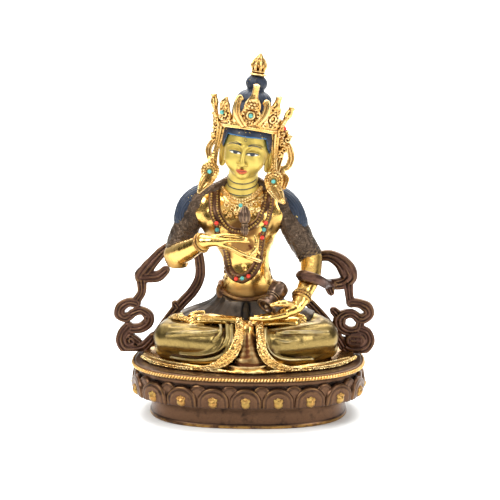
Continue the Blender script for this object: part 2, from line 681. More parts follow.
def mineralBluePaint():
    # ground azurite in glue, dark and matte, paler where rubbed, flecks of gilding below it
    material, tree = newMaterial("mineralBluePaint")
    place = addNode(tree, "ShaderNodeTexCoord").outputs["Object"]
    fine = addNode(tree, "ShaderNodeAttribute", attribute_name="fineHollow").outputs["Fac"]
    cloud = addNode(tree, "ShaderNodeTexNoise", {"Vector": place, "Scale": 260.0, "Detail": 6.0,
                                                 "Roughness": 0.65})
    flecks = addNode(tree, "ShaderNodeTexNoise", {"Vector": place, "Scale": 620.0, "Detail": 2.0})
    grain = addNode(tree, "ShaderNodeTexNoise", {"Vector": place, "Scale": 1800.0, "Detail": 3.0})
    tone = addNode(tree, "ShaderNodeMix", {0: cloud, 6: linear(bluePaint["blue"]),
                                           7: linear(bluePaint["blue2"])}, data_type="RGBA")
    rubbed = addNode(tree, "ShaderNodeMapRange", {"Value": fine, "From Min": 0.34, "From Max": 0.46,
                                                  "To Min": 0.6, "To Max": 0.0})
    lit = addNode(tree, "ShaderNodeMix", {0: rubbed, 6: tone.outputs[2], 7: linear(bluePaint["edge"])},
                  data_type="RGBA")
    spots = addNode(tree, "ShaderNodeMapRange", {"Value": flecks, "From Min": 0.70, "From Max": 0.73})
    border = addNode(tree, "ShaderNodeAttribute", attribute_name="lighterEdge").outputs["Fac"]
    lined = addNode(tree, "ShaderNodeMix", {0: border, 6: lit.outputs[2], 7: linear(bluePaint["line"])},
                    data_type="RGBA")
    colour = addNode(tree, "ShaderNodeMix", {0: spots, 6: lined.outputs[2], 7: linear(bluePaint["gold"])},
                     data_type="RGBA")
    relief = addNode(tree, "ShaderNodeBump", {"Height": grain, "Strength": 1.0, "Distance": 0.03 * mm})
    shader = addNode(tree, "ShaderNodeBsdfPrincipled", {
        "Base Color": colour.outputs[2], "Metallic": spots, "Roughness": bluePaint["rough"],
        "Normal": relief})
    addNode(tree, "ShaderNodeOutputMaterial", {"Surface": shader})
    return material


finishes["mineralBluePaint"], slots["mineralBluePaint"] = mineralBluePaint(), "blue_hair_paint"

stoneLooks = {
    "turquoise": {"name": "polishedTurquoise", "stone": "#54AFA4", "vein": "#2F7F7C",
                  "veinSize": 1.3, "ior": 1.61},
    "coral": {"name": "polishedCoral", "stone": "#EE3F2C", "vein": "#B82418", "veinSize": 1.6, "ior": 1.49},
}


def stoneFinish(look):
    # small cabochons: waxy polish, faint veins, a little light let in
    material, tree = newMaterial(look["name"])
    place = addNode(tree, "ShaderNodeTexCoord").outputs["Object"]
    veins = addNode(tree, "ShaderNodeTexNoise", {"Vector": place, "Scale": 1000 / look["veinSize"],
                                                 "Detail": 4.0})
    share = addNode(tree, "ShaderNodeMapRange", {"Value": veins, "From Min": 0.5, "From Max": 0.7})
    colour = addNode(tree, "ShaderNodeMix", {0: share, 6: linear(look["stone"]), 7: linear(look["vein"])},
                     data_type="RGBA")
    rough = addNode(tree, "ShaderNodeMapRange", {"Value": share, "To Min": 0.22, "To Max": 0.4})
    shader = addNode(tree, "ShaderNodeBsdfPrincipled", {
        "Base Color": colour.outputs[2], "Roughness": rough, "IOR": look["ior"]})
    addNode(tree, "ShaderNodeOutputMaterial", {"Surface": shader})
    return material


for kind, look in stoneLooks.items():
    finishes[kind], slots[kind] = stoneFinish(look), kind
report("finishes")


# head: painted face, neck and ears

face = {
    "cell": 0.32, "eyeOut": 4.9, "eyeLine": -0.9, "browLine": 4.6, "mouthLine": -11.05,
    "neckLines": (104.0, 100.4, 96.6), "neckSlope": 0.5, "paintEnds": 95.7,
}

trunk = {
    # level oval sections: height, middle x and y, half width, half depth
    "sections": [
        (26, -1, 9, 21, 15), (34, -1, 8, 18.5, 13.5), (40, -0.6, 7, 16.2, 12), (47, -0.5, 6, 14.0, 10.5),
        (54, -1.2, 5.5, 13.1, 10), (61, -2.2, 5, 14.6, 10.5), (67, -3.2, 4.8, 17.4, 11.4),
        (74, -4.4, 4.5, 21.2, 12.2), (82, -5.4, 4.5, 23.6, 12.4), (89, -5.6, 5, 24.0, 11.6),
        (94, -5.4, 5.5, 20.5, 9.6), (98, -4.6, 5, 14.5, 8.4), (102, -3.8, 4, 9.8, 8.2),
    ],
    "breast": (9.5, 6.0, 8.5), "belly": (9.5, 5.5, 8.0), "cell": 0.5,
}


def trunkShape(grow=0.0, low=26, high=102, at=None):
    rows = curvePoints(trunk["sections"], 6)
    pose = at or Matrix()
    inverse = rowsOf(pose.inverted())
    box = np.array([pose @ Vector((x, y, z)) for x in (-32, 20) for y in (-9, 22) for z in (low, high)])

    def measure(x, y, z):
        u, v, w = moved(inverse, x, y, z)
        column = [np.interp(w, rows[:, 0], rows[:, i]).astype(np.float32) for i in range(1, 5)]
        across, deep = column[2] + grow, column[3] + grow
        away = np.sqrt(((u - column[0]) / across) ** 2 + ((v - column[1]) / deep) ** 2) - 1
        return np.maximum(away * np.minimum(across, deep), np.maximum(low - w, w - high))

    return [(box.min(0), box.max(0), measure)]


def smoothStep(values, low, high):
    t = np.clip((values - low) / (high - low), 0, 1)
    return t * t * (3 - 2 * t)


def faceInk(p):
    x, y, z = np.abs(p[:, 0]), p[:, 1], p[:, 2]
    front = smoothStep(-y, 8.0, 9.0)
    brow = face["browLine"] - 0.085 * (x - 5.0) ** 2
    brows = (1 - smoothStep(np.abs(z - brow), 0.2, 0.55)) * smoothStep(x, 1.6, 2.2)
    brows = brows * (1 - smoothStep(x, 9.2, 9.8))
    out = x - face["eyeOut"]
    lid = face["eyeLine"] + 0.95 - 0.085 * out ** 2
    lids = (1 - smoothStep(np.abs(z - lid), 0.3, 0.6)) * (1 - smoothStep(np.abs(out), 3.4, 3.9))
    iris = 1 - smoothStep(np.hypot(out * 0.75, z - face["eyeLine"] - 0.1), 0.95, 1.25)
    iris *= 1 - smoothStep(z, face["eyeLine"] + 0.6, face["eyeLine"] + 0.9)
    mark = 1 - smoothStep(np.abs(np.hypot(x, z - 6.6) - 0.75), 0.12, 0.35)
    mouth = 1 - smoothStep(np.abs(z - face["mouthLine"] - 0.02 * x ** 2), 0.1, 0.3)
    mouth = mouth * (1 - smoothStep(x, 2.9, 3.3))
    ink = np.maximum.reduce([brows, lids, iris, 0.7 * mark, 0.7 * mouth]) * front
    # the three lines of the neck, lower at the front
    world = p @ np.array(headFrame)[:3, :3].T + np.array(headFrame)[:3, 3]
    level = world[:, 2] - face["neckSlope"] * (world[:, 1] + 6.0)
    for line in face["neckLines"]:
        creaseInk = (1 - smoothStep(np.abs(level - line), 0.2, 0.5)) * smoothStep(-world[:, 1], -4, -1)
        ink = np.maximum(ink, creaseInk * smoothStep(-z, 18, 19))
    return ink


def faceWhite(p):
    out, z = np.abs(p[:, 0]) - face["eyeOut"], p[:, 2] - face["eyeLine"]
    eye = 1 - smoothStep(np.hypot(out / 3.3, (z + 0.05 + 0.02 * out ** 2) / 0.72), 0.75, 1.05)
    return eye * smoothStep(-p[:, 1], 8.0, 9.0)


def faceRed(p):
    x, z = np.abs(p[:, 0]), p[:, 2] - face["mouthLine"]
    lips = 1 - smoothStep(np.hypot(x / 3.4, (z + 0.15) / 1.55), 0.8, 1.05)
    return lips * smoothStep(-p[:, 1], 11.5, 12.5) * 0.85


def makeFace():
    toHead = headFrame.inverted()
    clay = Clay((-19, -21, -38), (19, 19, 20), face["cell"])
    clay.add(ball((0, 1.0, 3.5), (12.9, 14.2, 14.2)))
    clay.add(ball((0, -3.2, -4.6), (12.0, 12.0, 12.9)), 3)
    clay.add(ball((0, -10.6, -10.4), (4.6, 4.2, 3.6)), 2.5)
    clay.add(ball((0, -10.8, -14.3), (3.8, 3.4, 3.0)), 2.5)
    for side in (-1, 1):
        clay.add(ball((6.0 * side, -9.2, -6.4), (4.4, 4.5, 4.8)), 3)
        clay.dig(ball((4.9 * side, -17.0, 0.6), (4.0, 3.0, 2.6)), 2.5)
        brow = [(1.6, -14.4, 3.0, 0.7), (4.6, -14.5, 4.3, 0.8), (7.6, -12.7, 4.1, 0.7),
                (10.2, -10.0, 2.4, 0.4)]
        clay.add(tube(mirrored(brow, side)), 1.8)
        clay.add(ball((4.9 * side, -10.9, -0.9), (3.5, 2.9, 2.1)), 0.6)
        upper = [(1.9, -13.2, -1.3, 0.4), (3.3, -14.0, -0.1, 0.6), (5.1, -13.9, 0.25, 0.65),
                 (7.0, -12.9, -0.1, 0.55), (8.7, -11.3, -1.2, 0.4)]
        clay.add(tube(mirrored(upper, side)), 0.7)
        lower = [(2.1, -13.1, -1.7, 0.3), (4.9, -13.6, -2.5, 0.45), (8.4, -11.6, -1.7, 0.3)]
        clay.add(tube(mirrored(lower, side)), 0.6)
        clay.add(ball((1.9 * side, -15.3, -6.9), (1.25, 1.7, 1.15)), 0.9)
        ear = [(12.2, 0.2, 3.2, 0.9), (13.6, 0.8, 4.4, 1.0), (14.9, 1.9, 2.4, 1.1), (14.8, 2.2, -2, 1.1),
               (14.0, 1.6, -6, 1.2), (13.8, 1.0, -10, 1.4), (13.2, 0.4, -12.6, 1.7),
               (12.4, -0.3, -10.6, 1.2), (12.2, -0.6, -6, 1.0), (12.4, -0.4, -2.5, 1.0)]
        clay.add(tube(mirrored(ear, side)), 0.6)
        inner = [(13.6, 1.6, 2.2, 0.6), (13.4, 1.2, -1.0, 0.7), (12.9, 0.6, -3.4, 0.7)]
        clay.add(tube(mirrored(inner, side)), 0.4)
        clay.add(ball((13.9 * side, 1.3, -5.4), (1.9, 1.5, 8.2)), 0.6)
    nose = [(0, -13.9, 3.4, 1.0), (0, -15.3, -0.6, 1.1), (0, -16.9, -4.8, 1.45), (0, -17.2, -6.5, 1.55)]
    clay.add(tube(nose), 1.3)
    clay.dig(ball((0.95, -16.6, -8.2), (0.5, 0.9, 0.5)), 0.4)
    clay.dig(ball((-0.95, -16.6, -8.2), (0.5, 0.9, 0.5)), 0.4)
    upperLip = [(-3.3, -13.9, -10.95, 0.35), (-1.5, -15.0, -10.25, 0.7), (0, -15.3, -10.5, 0.65),
                (1.5, -15.0, -10.25, 0.7), (3.3, -13.9, -10.95, 0.35)]
    clay.add(tube(upperLip), 0.6)
    clay.add(tube([(-2.5, -14.1, -11.8, 0.45), (0, -15.1, -12.15, 0.95), (2.5, -14.1, -11.8, 0.45)]), 0.7)
    clay.dig(tube([(-3.3, -14.9, -10.95, 0.25), (0, -16.4, -11.1, 0.3), (3.3, -14.9, -10.95, 0.25)]), 0.4)
    clay.dig(ball((0, -15.2, -9.0), (0.7, 0.8, 0.9)), 0.8)
    # neck, and the painted top of the chest as far as the collar
    clay.add(tube([(-4.2, 4.5, 93, 10.2), (-3.6, 3.0, 101, 9.2), (-2.6, 0.5, 112, 8.4)], at=toHead), 2)
    clay.add(trunkShape(0.25, 88, 102, toHead), 2)
    world = rowsOf(headFrame)

    def aboveCollar(x, y, z):
        u, v, w = moved(world, x, y, z)
        return face["paintEnds"] - w + face["neckSlope"] * (v + 6.0)

    clay.keep(aboveCollar)
    for line in face["neckLines"]:
        def crease(x, y, z, line=line):
            u, v, w = moved(world, x, y, z)
            level = w - face["neckSlope"] * (v + 6.0) - line
            return 0.22 * np.exp(-(level / 0.45) ** 2) * (z < -18)
        clay.press(crease)
    paints = {"inkPaint": faceInk, "whitePaint": faceWhite, "redPaint": faceRed}
    pieceFromClay("paintedFace", clay, "matteColdGoldPaint", at=headFrame, paints=paints)


makeFace()

# hair: cap, piled knot, back of the neck and the locks over the shoulders

hair = {"cell": 0.42, "capGrowth": 0.9, "line": 8.3, "strandDepth": 0.2, "lockDepth": 0.4}


def makeHair():
    clay = Clay((-48, -22, 74), (40, 20, 176), hair["cell"])
    grow = hair["capGrowth"]
    clay.add(ball((0, 1.0, 3.5), (14.0 + grow, 14.4 + grow, 14.4 + grow), at=headFrame))
    clay.add(ball((0, 1.5, -4.6), (11.9 + grow, 12.0 + grow, 13.0), at=headFrame), 2)
    inverse = rowsOf(headFrame.inverted())

    def hairline(x, y, z):
        u, v, w = moved(inverse, x, y, z)
        fall = 0.12 * np.maximum(np.abs(u) - 5.0, 0) + 3.6 * np.maximum(np.abs(u) - 10.9, 0)
        fall = fall + 5.0 * np.maximum(v - 0.5, 0)
        return hair["line"] - fall - w

    clay.keep(hairline)
    # loose mass behind the neck
    clay.add(tube([(-1, 6.5, 122, 10.5), (-2.8, 8.0, 113, 8), (-3.6, 8.5, 104, 8.2), (-4.5, 9.5, 97, 13)],
                  flat=(1, 0.5, 1)), 2)
    clay.add(ball((0, 4, 19), (12.0, 11.5, 10), at=crownFrame), 2)
    clay.add(ball((0, 4, 26), (10.2, 9.5, 6.5), at=crownFrame), 0.5)
    clay.add(tube([(0, 4, 24, 6.0), (0, 4, 31, 4.6)], at=crownFrame), 1)
    clay.add(ball((0, 4, 35.6), (6.3, 6.2, 5.4), at=crownFrame), 0.6)
    right = [(-24.5, 5.5, 98.6, 3.4), (-30, 5, 96.8, 4.4), (-36.0, 3, 91, 4.9), (-39.6, 1.5, 83, 4.0),
             (-40.0, 1.0, 79.5, 2.4)]
    left = [(15.5, 5.5, 98.2, 3.4), (20.5, 5, 95.8, 4.4), (25.9, 3, 90, 4.9), (30.6, 1.5, 81.5, 4.0),
            (31.6, 1.0, 78, 2.4)]
    clay.add(tube(right, flat=(1, 1.3, 1)), 1.5)
    clay.add(tube(left, flat=(1, 1.3, 1)), 1.5)
    up = rowsOf(crownFrame.inverted())

    def strands(x, y, z):
        # combed lines: winding up the knot, straight down the head and the neck
        u, v, w = moved(up, x, y, z)
        around = np.arctan2(v - 4, u)
        depth = hair["strandDepth"] * (0.5 + 0.5 * np.cos(around * 22 + 0.5 * np.sin(w * 0.35)))
        return depth * (w > 11)

    clay.press(strands)

    def backLines(x, y, z):
        lines = 0.5 + 0.5 * np.cos(x * 2.4 + 0.8 * np.sin(z * 0.18))
        return hair["strandDepth"] * lines * ((y > 4) & (z < 132) & (np.abs(x + 3) < 15))

    clay.press(backLines)

    def lockLines(x, y, z):
        # lines run along each lock, over the shoulder and down the arm
        middle = np.where(x < -5, -29.0, 19.0)
        side = np.where(x < -5, -1.0, 1.0)
        out = (x - middle) * side
        across = np.hypot(out + 6, z - 83) + 0.35 * y
        wander = 0.6 * np.sin(0.5 * z + 1.3 * np.sin(0.37 * x))
        return hair["lockDepth"] * (0.5 + 0.5 * np.cos(across * 4.4 + wander)) ** 3 * (np.abs(x + 5) > 14)

    clay.press(lockLines, (-48, -12, 74), (40, 20, 104))

    def brightHairline(p):
        # a lighter blue line along the edge of the hair over the brow
        values = hairline(p[:, 0], p[:, 1], p[:, 2])
        return (1 - smoothStep(-values, 0.3, 0.8)) * (p[:, 2] > 118) * (p[:, 1] < 2)

    pieceFromClay("hair", clay, "mineralBluePaint", paints={"lighterEdge": brightHairline})


makeHair()

jewel = {"cell": 0.3, "petals": 8}


def makeJewel():
    clay = Clay((-7, -4, 37), (7, 12, 55), jewel["cell"])
    clay.add(ball((0, 4, 40.9), (5.3, 5.3, 1.25)))
    clay.add(ball((0, 4, 42.6), (4.2, 4.2, 1.0)), 0.3)
    clay.add(ball((0, 4, 46.6), (4.1, 4.1, 3.6)), 0.4)
    clay.add(ball((0, 4, 50.1), (1.9, 1.9, 2.7)), 1.2)
    for i in range(jewel["petals"]):
        # leaves that clasp the jewel, each with a raised edge
        a = 2 * math.pi * (i + 0.5) / jewel["petals"]
        c, s = math.cos(a), math.sin(a)
        leaf = [(3.2 * c, 4 + 3.2 * s, 43.2, 0.75), (4.3 * c, 4 + 4.3 * s, 45.6, 0.8),
                (3.6 * c, 4 + 3.6 * s, 48.4, 0.5), (2.2 * c, 4 + 2.2 * s, 50.4, 0.35)]
        clay.add(tube(leaf), 0.4)
    clay.add(ball((0, 4, 52.4), (0.9, 0.9, 0.8)), 0.3)
    pieceFromClay("jewelFinial", clay, "ornamentGiltCopper", at=crownFrame)


makeJewel()

# trunk: bare chest and belly


def makeTorso():
    clay = Clay((-34, -12, 30), (24, 24, 100), trunk["cell"])
    clay.add(trunkShape(0.0, 30.6, 101))
    for x in (-15.5, 5.0):
        clay.add(ball((x, -3.0, 82), trunk["breast"]), 4)
        clay.add(ball((x - 0.5 if x < 0 else x + 0.5, -8.9, 79.5), (0.8, 0.7, 0.8)), 0.8)
    clay.add(ball((-0.8, -0.5, 49), trunk["belly"]), 4)
    clay.dig(ball((-2.3, -6.4, 54.6), (1.1, 1.6, 1.1)), 1.2)
    # shoulders and the roots of the arms
    clay.add(tube([(-24, 5, 92, 7.6), (-29.4, 3.6, 86.5, 6.6)]), 5)
    clay.add(tube([(-24.5, 0.8, 91, 3.8), (-25.2, 0.8, 84, 3.8), (-22.6, 1.6, 76.5, 3.4)]), 3)
    clay.add(tube([(13, 5, 91.5, 7.6), (18.8, 3.6, 85.5, 6.6)]), 5)
    clay.add(tube([(14.2, 0.8, 91, 3.8), (15.6, 0.8, 84, 3.8), (13.8, 1.6, 77, 3.4)]), 3)
    clay.dig(tube([(-4.9, -13.5, 89, 4.0), (-4.9, -15.2, 80, 4.0), (-4.0, -14.5, 72, 3.6)]), 6)
    return clay


def torsoStain(p):
    # brown left in round the vajra, behind the fingers, beside the strings and at the waist
    x, z = p[:, 0], p[:, 2]
    front = smoothStep(-p[:, 1], -2, 3)
    necklace = 1 - smoothStep(np.hypot((x + 2.6) / 9.5, (z - 78) / 6.5), 0.7, 1.15)
    fingers = 1 - smoothStep(np.hypot((x + 3.0) / 8.0, (z - 68.4) / 5.5), 0.75, 1.0)
    armpits = 1 - smoothStep(np.minimum(np.hypot(x + 24, z - 77), np.hypot(x - 15, z - 79)), 2.5, 7)
    side = smoothStep(-x, 9.0, 11.5) * (1 - smoothStep(z, 66, 70)) * smoothStep(z, 48, 52)
    waist = 1 - smoothStep(z, 41.5, 46.5)
    return front * np.maximum.reduce([0.85 * necklace, 0.78 * fingers, 0.35 * armpits,
                                      0.55 * side, 0.7 * waist])


chest = makeTorso()
chestField = chest.field.copy()


def chestAt(x, z, offset=0.0):
    chest.field = chestField
    return chest.frontAt(x, z, offset)


chest.field = chestField.copy()
pieceFromClay("bareTorso", chest, "fireGiltCopper", paints={"stained": torsoStain})

# arms and hands

arms = {
    "cell": 0.42, "shoulderR": (-30.5, 5, 89.5), "elbowR": (-42.5, -1, 61), "wristR": (-25, -20, 72.5),
    "shoulderL": (20, 5, 88.5), "elbowL": (36.8, 0, 58.5), "wristL": (31, -20, 39.5), "sleeveCell": 0.48,
    "foldDepth": 0.52,
}


def finger(clay, rows, joints=True):
    clay.add(tube(rows), 0.5)
    if joints:
        for share in (0.45, 0.72):
            i = share * (len(rows) - 1)
            a, b = rows[int(i)], rows[min(int(i) + 1, len(rows) - 1)]
            t = i - int(i)
            x, y, z, r = [p + (q - p) * t for p, q in zip(a, b)]
            clay.add(ball((x, y, z), (r * 1.12, r * 1.12, r * 1.12)), 0.8)


def makeRightHand():
    clay = Clay((-52, -31, 54), (13, 8, 86), arms["cell"])
    clay.add(tube([(*arms["elbowR"], 6.9), (-35.5, -10, 65.3, 6.3), (*arms["wristR"], 4.1)]))
    clay.add(ball((-41.0, -3.0, 57.6), (6.2, 6.4, 6.4)), 2.5)
    clay.add(tube([(*arms["wristR"], 4.1), (-20, -21.8, 73.2, 3.7), (-14, -22.8, 72.9, 2.9)],
                  flat=(1, 1, 0.9)), 1.5)
    for rows in (
        [(-19, -21.4, 75.0, 2.0), (-12.5, -22.4, 76.5, 1.35), (-7, -23.0, 76.4, 1.25),
         (-4.8, -23.0, 76.1, 1.3), (-1.4, -22.7, 75.2, 1.0), (0.6, -22.3, 74.4, 0.7)],
        [(-17, -23.4, 73.4, 2.0), (-10.5, -24.5, 74.1, 1.3), (-5.5, -24.6, 74.1, 1.15),
         (-2.5, -24.2, 73.8, 1.15), (1.2, -23.6, 73.2, 0.7)],
        [(-15, -23.6, 71.8, 1.9), (-10, -24.8, 70.6, 1.3), (-4.6, -25.2, 67.9, 1.05),
         (-2.2, -25.2, 66.7, 1.15), (2.8, -24.7, 64.6, 0.95), (7.9, -23.4, 62.3, 0.65)],
        [(-15, -21.6, 70.4, 1.9), (-9.5, -22.8, 69.0, 1.2), (-4, -23.0, 66.0, 1.0),
         (-1.2, -22.8, 64.7, 1.1), (3.0, -22.3, 62.9, 0.9), (7.0, -21.4, 61.2, 0.65)],
        [(-1.5, -23.4, 65.6, 1.2), (2.0, -24.6, 66.2, 1.2), (4.3, -24.8, 68.6, 1.2),
         (5.4, -24.0, 72.6, 1.05), (4.3, -23.2, 76.6, 0.65)],
        [(3.6, -22.9, 66.6, 0.9), (6.0, -22.8, 67.8, 0.9), (6.9, -22.4, 66.4, 0.7)],
    ):
        finger(clay, rows, joints=False)
    clay.dig(tube([(-17, -26.2, 71.6, 0.35), (-12, -26.6, 71.6, 0.4), (-9, -26.8, 72.3, 0.3)]), 0.5)

    def elbowStain(p):
        low = 1 - smoothStep(p[:, 2] + 0.5 * (p[:, 0] + 40), 54, 60)
        return 0.6 * low * (p[:, 0] < -30)

    pieceFromClay("raisedHand", clay, "fireGiltCopper", paints={"stained": elbowStain})


def makeLeftHand():
    clay = Clay((-4, -36, 24), (46, 8, 68), arms["cell"])
    clay.add(tube([(*arms["elbowL"], 6.5), (35.7, -10, 49, 6.0), (*arms["wristL"], 4.2)]))
    clay.add(tube([(*arms["wristL"], 4.2), (27.5, -24, 35, 4.2), (21, -25, 32.2, 3.6)],
                  flat=(1, 1, 0.85)), 2)
    finger(clay, [(27, -25.4, 36.5, 2.4), (23.5, -27.4, 38.2, 1.9), (19, -28.8, 38.9, 1.6),
                  (14.2, -29.5, 38.0, 1.1)])
    finger(clay, [(22, -27.5, 32.0, 2.2), (16.5, -28.4, 30.8, 1.8), (10, -28.3, 29.8, 1.6),
                  (2.3, -26.6, 29.3, 1.1)])
    finger(clay, [(22, -25.0, 31.0, 2.2), (16, -25.4, 29.8, 1.8), (9.4, -25.2, 28.8, 1.6),
                  (2.8, -24.0, 28.6, 1.1)])
    finger(clay, [(22, -22.6, 31.2, 2.2), (15, -22.7, 30.2, 1.8), (9.5, -22.4, 29.4, 1.5),
                  (4.4, -21.6, 29.2, 1.0)])
    pieceFromClay("loweredHand", clay, "fireGiltCopper")


makeRightHand()
makeLeftHand()


def sleeveFolds(start, end, lean, low, high):
    # slanting creases that wind round the arm, with fine chased lines between them
    axis = Vector(end) - Vector(start)
    length = axis.length
    turn = axis.to_track_quat("Z", "Y").to_matrix().to_4x4()
    inverse = rowsOf((Matrix.Translation(start) @ turn).inverted())

    def amount(x, y, z):
        u, v, w = moved(inverse, x, y, z)
        around = np.arctan2(v, u)
        share = np.clip(w / length, 0, 1)
        wave = np.cos(w * 0.22 + lean * 2.9 * np.cos(around + 0.6) + 0.7 * np.sin(2 * around)) ** 2
        fine = np.abs(np.sin(w * 0.5 - lean * 4.2 * np.cos(around - 0.4))) ** 0.5
        inside = (w > low) & (w < length + high)
        cuff = smoothStep(w, length - 6.5, length - 5.5) * np.cos(2.6 * w)
        cuff = cuff * np.cos(9 * around + 1.5 * np.sin(2.6 * w))
        return arms["foldDepth"] * ((0.4 + 0.6 * share) * wave - 0.45 * (1 - fine) + 0.3 + 0.7
                                    * cuff) * inside

    return amount


def makeSleeves():
    clay = Clay((-56, -14, 44), (50, 22, 108), arms["sleeveCell"])
    clay.add(tube([(-29.0, 5, 91.2, 8.2), (-32.5, 4.6, 86, 8.6), (-37, 3, 75, 8.3), (-40.6, 1.2, 66.5, 7.8),
                   (-41.0, 1.0, 65.5, 7.7)]))
    clay.add(tube([(18.6, 5, 90.2, 8.2), (22.0, 4.6, 85, 8.6), (28.3, 3, 74, 8.3), (34.6, 1.0, 63, 7.6),
                   (35.2, 0.8, 62, 7.5)]))
    clay.add(trunkShape(0.6, 45.5, 101), 2)
    clay.add(tube([(-26, 6.5, 90, 9.0), (-15, 8.5, 95, 8.6), (-4, 8.5, 97, 8.4), (6, 8.5, 95, 8.6),
                   (16, 6.5, 89.5, 9.0)]), 2)
    clay.press(sleeveFolds(arms["shoulderR"], arms["elbowR"], 1.0, 2, 3), (-56, -14, 48), (-14, 18, 106))
    clay.press(sleeveFolds(arms["shoulderL"], arms["elbowL"], -1.0, 2, 3), (6, -14, 48), (50, 18, 106))

    def openFront(x, y, z):
        # the sleeves leave the chest open
        left = 0.95 * (x + 26.5) - 0.12 * (z - 90) + 0.3 * y
        right = -0.95 * (x - 16.6) - 0.12 * (z - 90) + 0.3 * y
        return np.minimum(np.minimum(left, right), 7.5 - y - 0.06 * (100 - z))

    clay.keep(openFront)
    # the yoke over the shoulders, up to the neck
    clay.add(tube([(-12.4, 3.6, 103.8, 2.8), (-18.5, 3.0, 100.0, 3.4), (-25, 3.4, 96.6, 4.6),
                   (-31, 4.6, 91.5, 7.0)]), 1.5)
    clay.add(tube([(5.0, 3.6, 104.0, 2.8), (11.2, 3.0, 100.0, 3.4), (17, 3.4, 95.8, 4.6),
                   (22.4, 4.6, 90.0, 7.0)]), 1.5)
    pieceFromClay("sleeves", clay, "smokedCopper")


makeSleeves()

# bracelets: a beaded hoop between two plain ones

bracelets = {"cell": 0.34, "hoop": 0.75, "beads": 22, "bead": 0.72}


def bracelet(clay, middle, axis, radius):
    turn = Vector(axis).to_track_quat("Y", "Z").to_matrix().to_4x4()
    frameHere = Matrix.Translation(middle) @ turn
    for shift in (-1.7, 1.7):
        clay.add(ring((0, shift, 0), radius, bracelets["hoop"], at=frameHere), 0.2)
    clay.add(ring((0, 0, 0), radius - 0.1, 1.0, at=frameHere), 0.3)
    clay.add(hoopOfBalls((0, 0, 0), radius + 0.75, bracelets["bead"], bracelets["beads"],
                         at=frameHere), 0.2)
    clay.add(ball((-0.2, 0, -radius - 0.8), (1.7, 1.9, 0.9), at=frameHere), 0.3)


def makeBracelets():
    clay = Clay((-36, -30, 30), (41, -9, 84), bracelets["cell"])
    bracelet(clay, (-26.0, -19.0, 71.8), (10.5, -10, 7), 4.6)
    bracelet(clay, (31.3, -19.0, 40.8), (-4.5, -10, -9.5), 4.7)
    pieceFromClay("bracelets", clay, "wornGiltCopper")


makeBracelets()

# legs in smooth trousers, feet, sash and lap cloth

legs = {
    "cell": 0.55, "feetCell": 0.36, "sashCell": 0.46, "clothCell": 0.58, "hemCell": 0.4,
    "thighR": [(-8, 9, 20, 14), (-28, 1, 18.5, 11.8), (-43, -8, 15, 10.2)],
    "thighL": [(7, 9, 20, 14), (27, 1, 18.5, 11.8), (42, -7, 15.5, 10.2)],
}


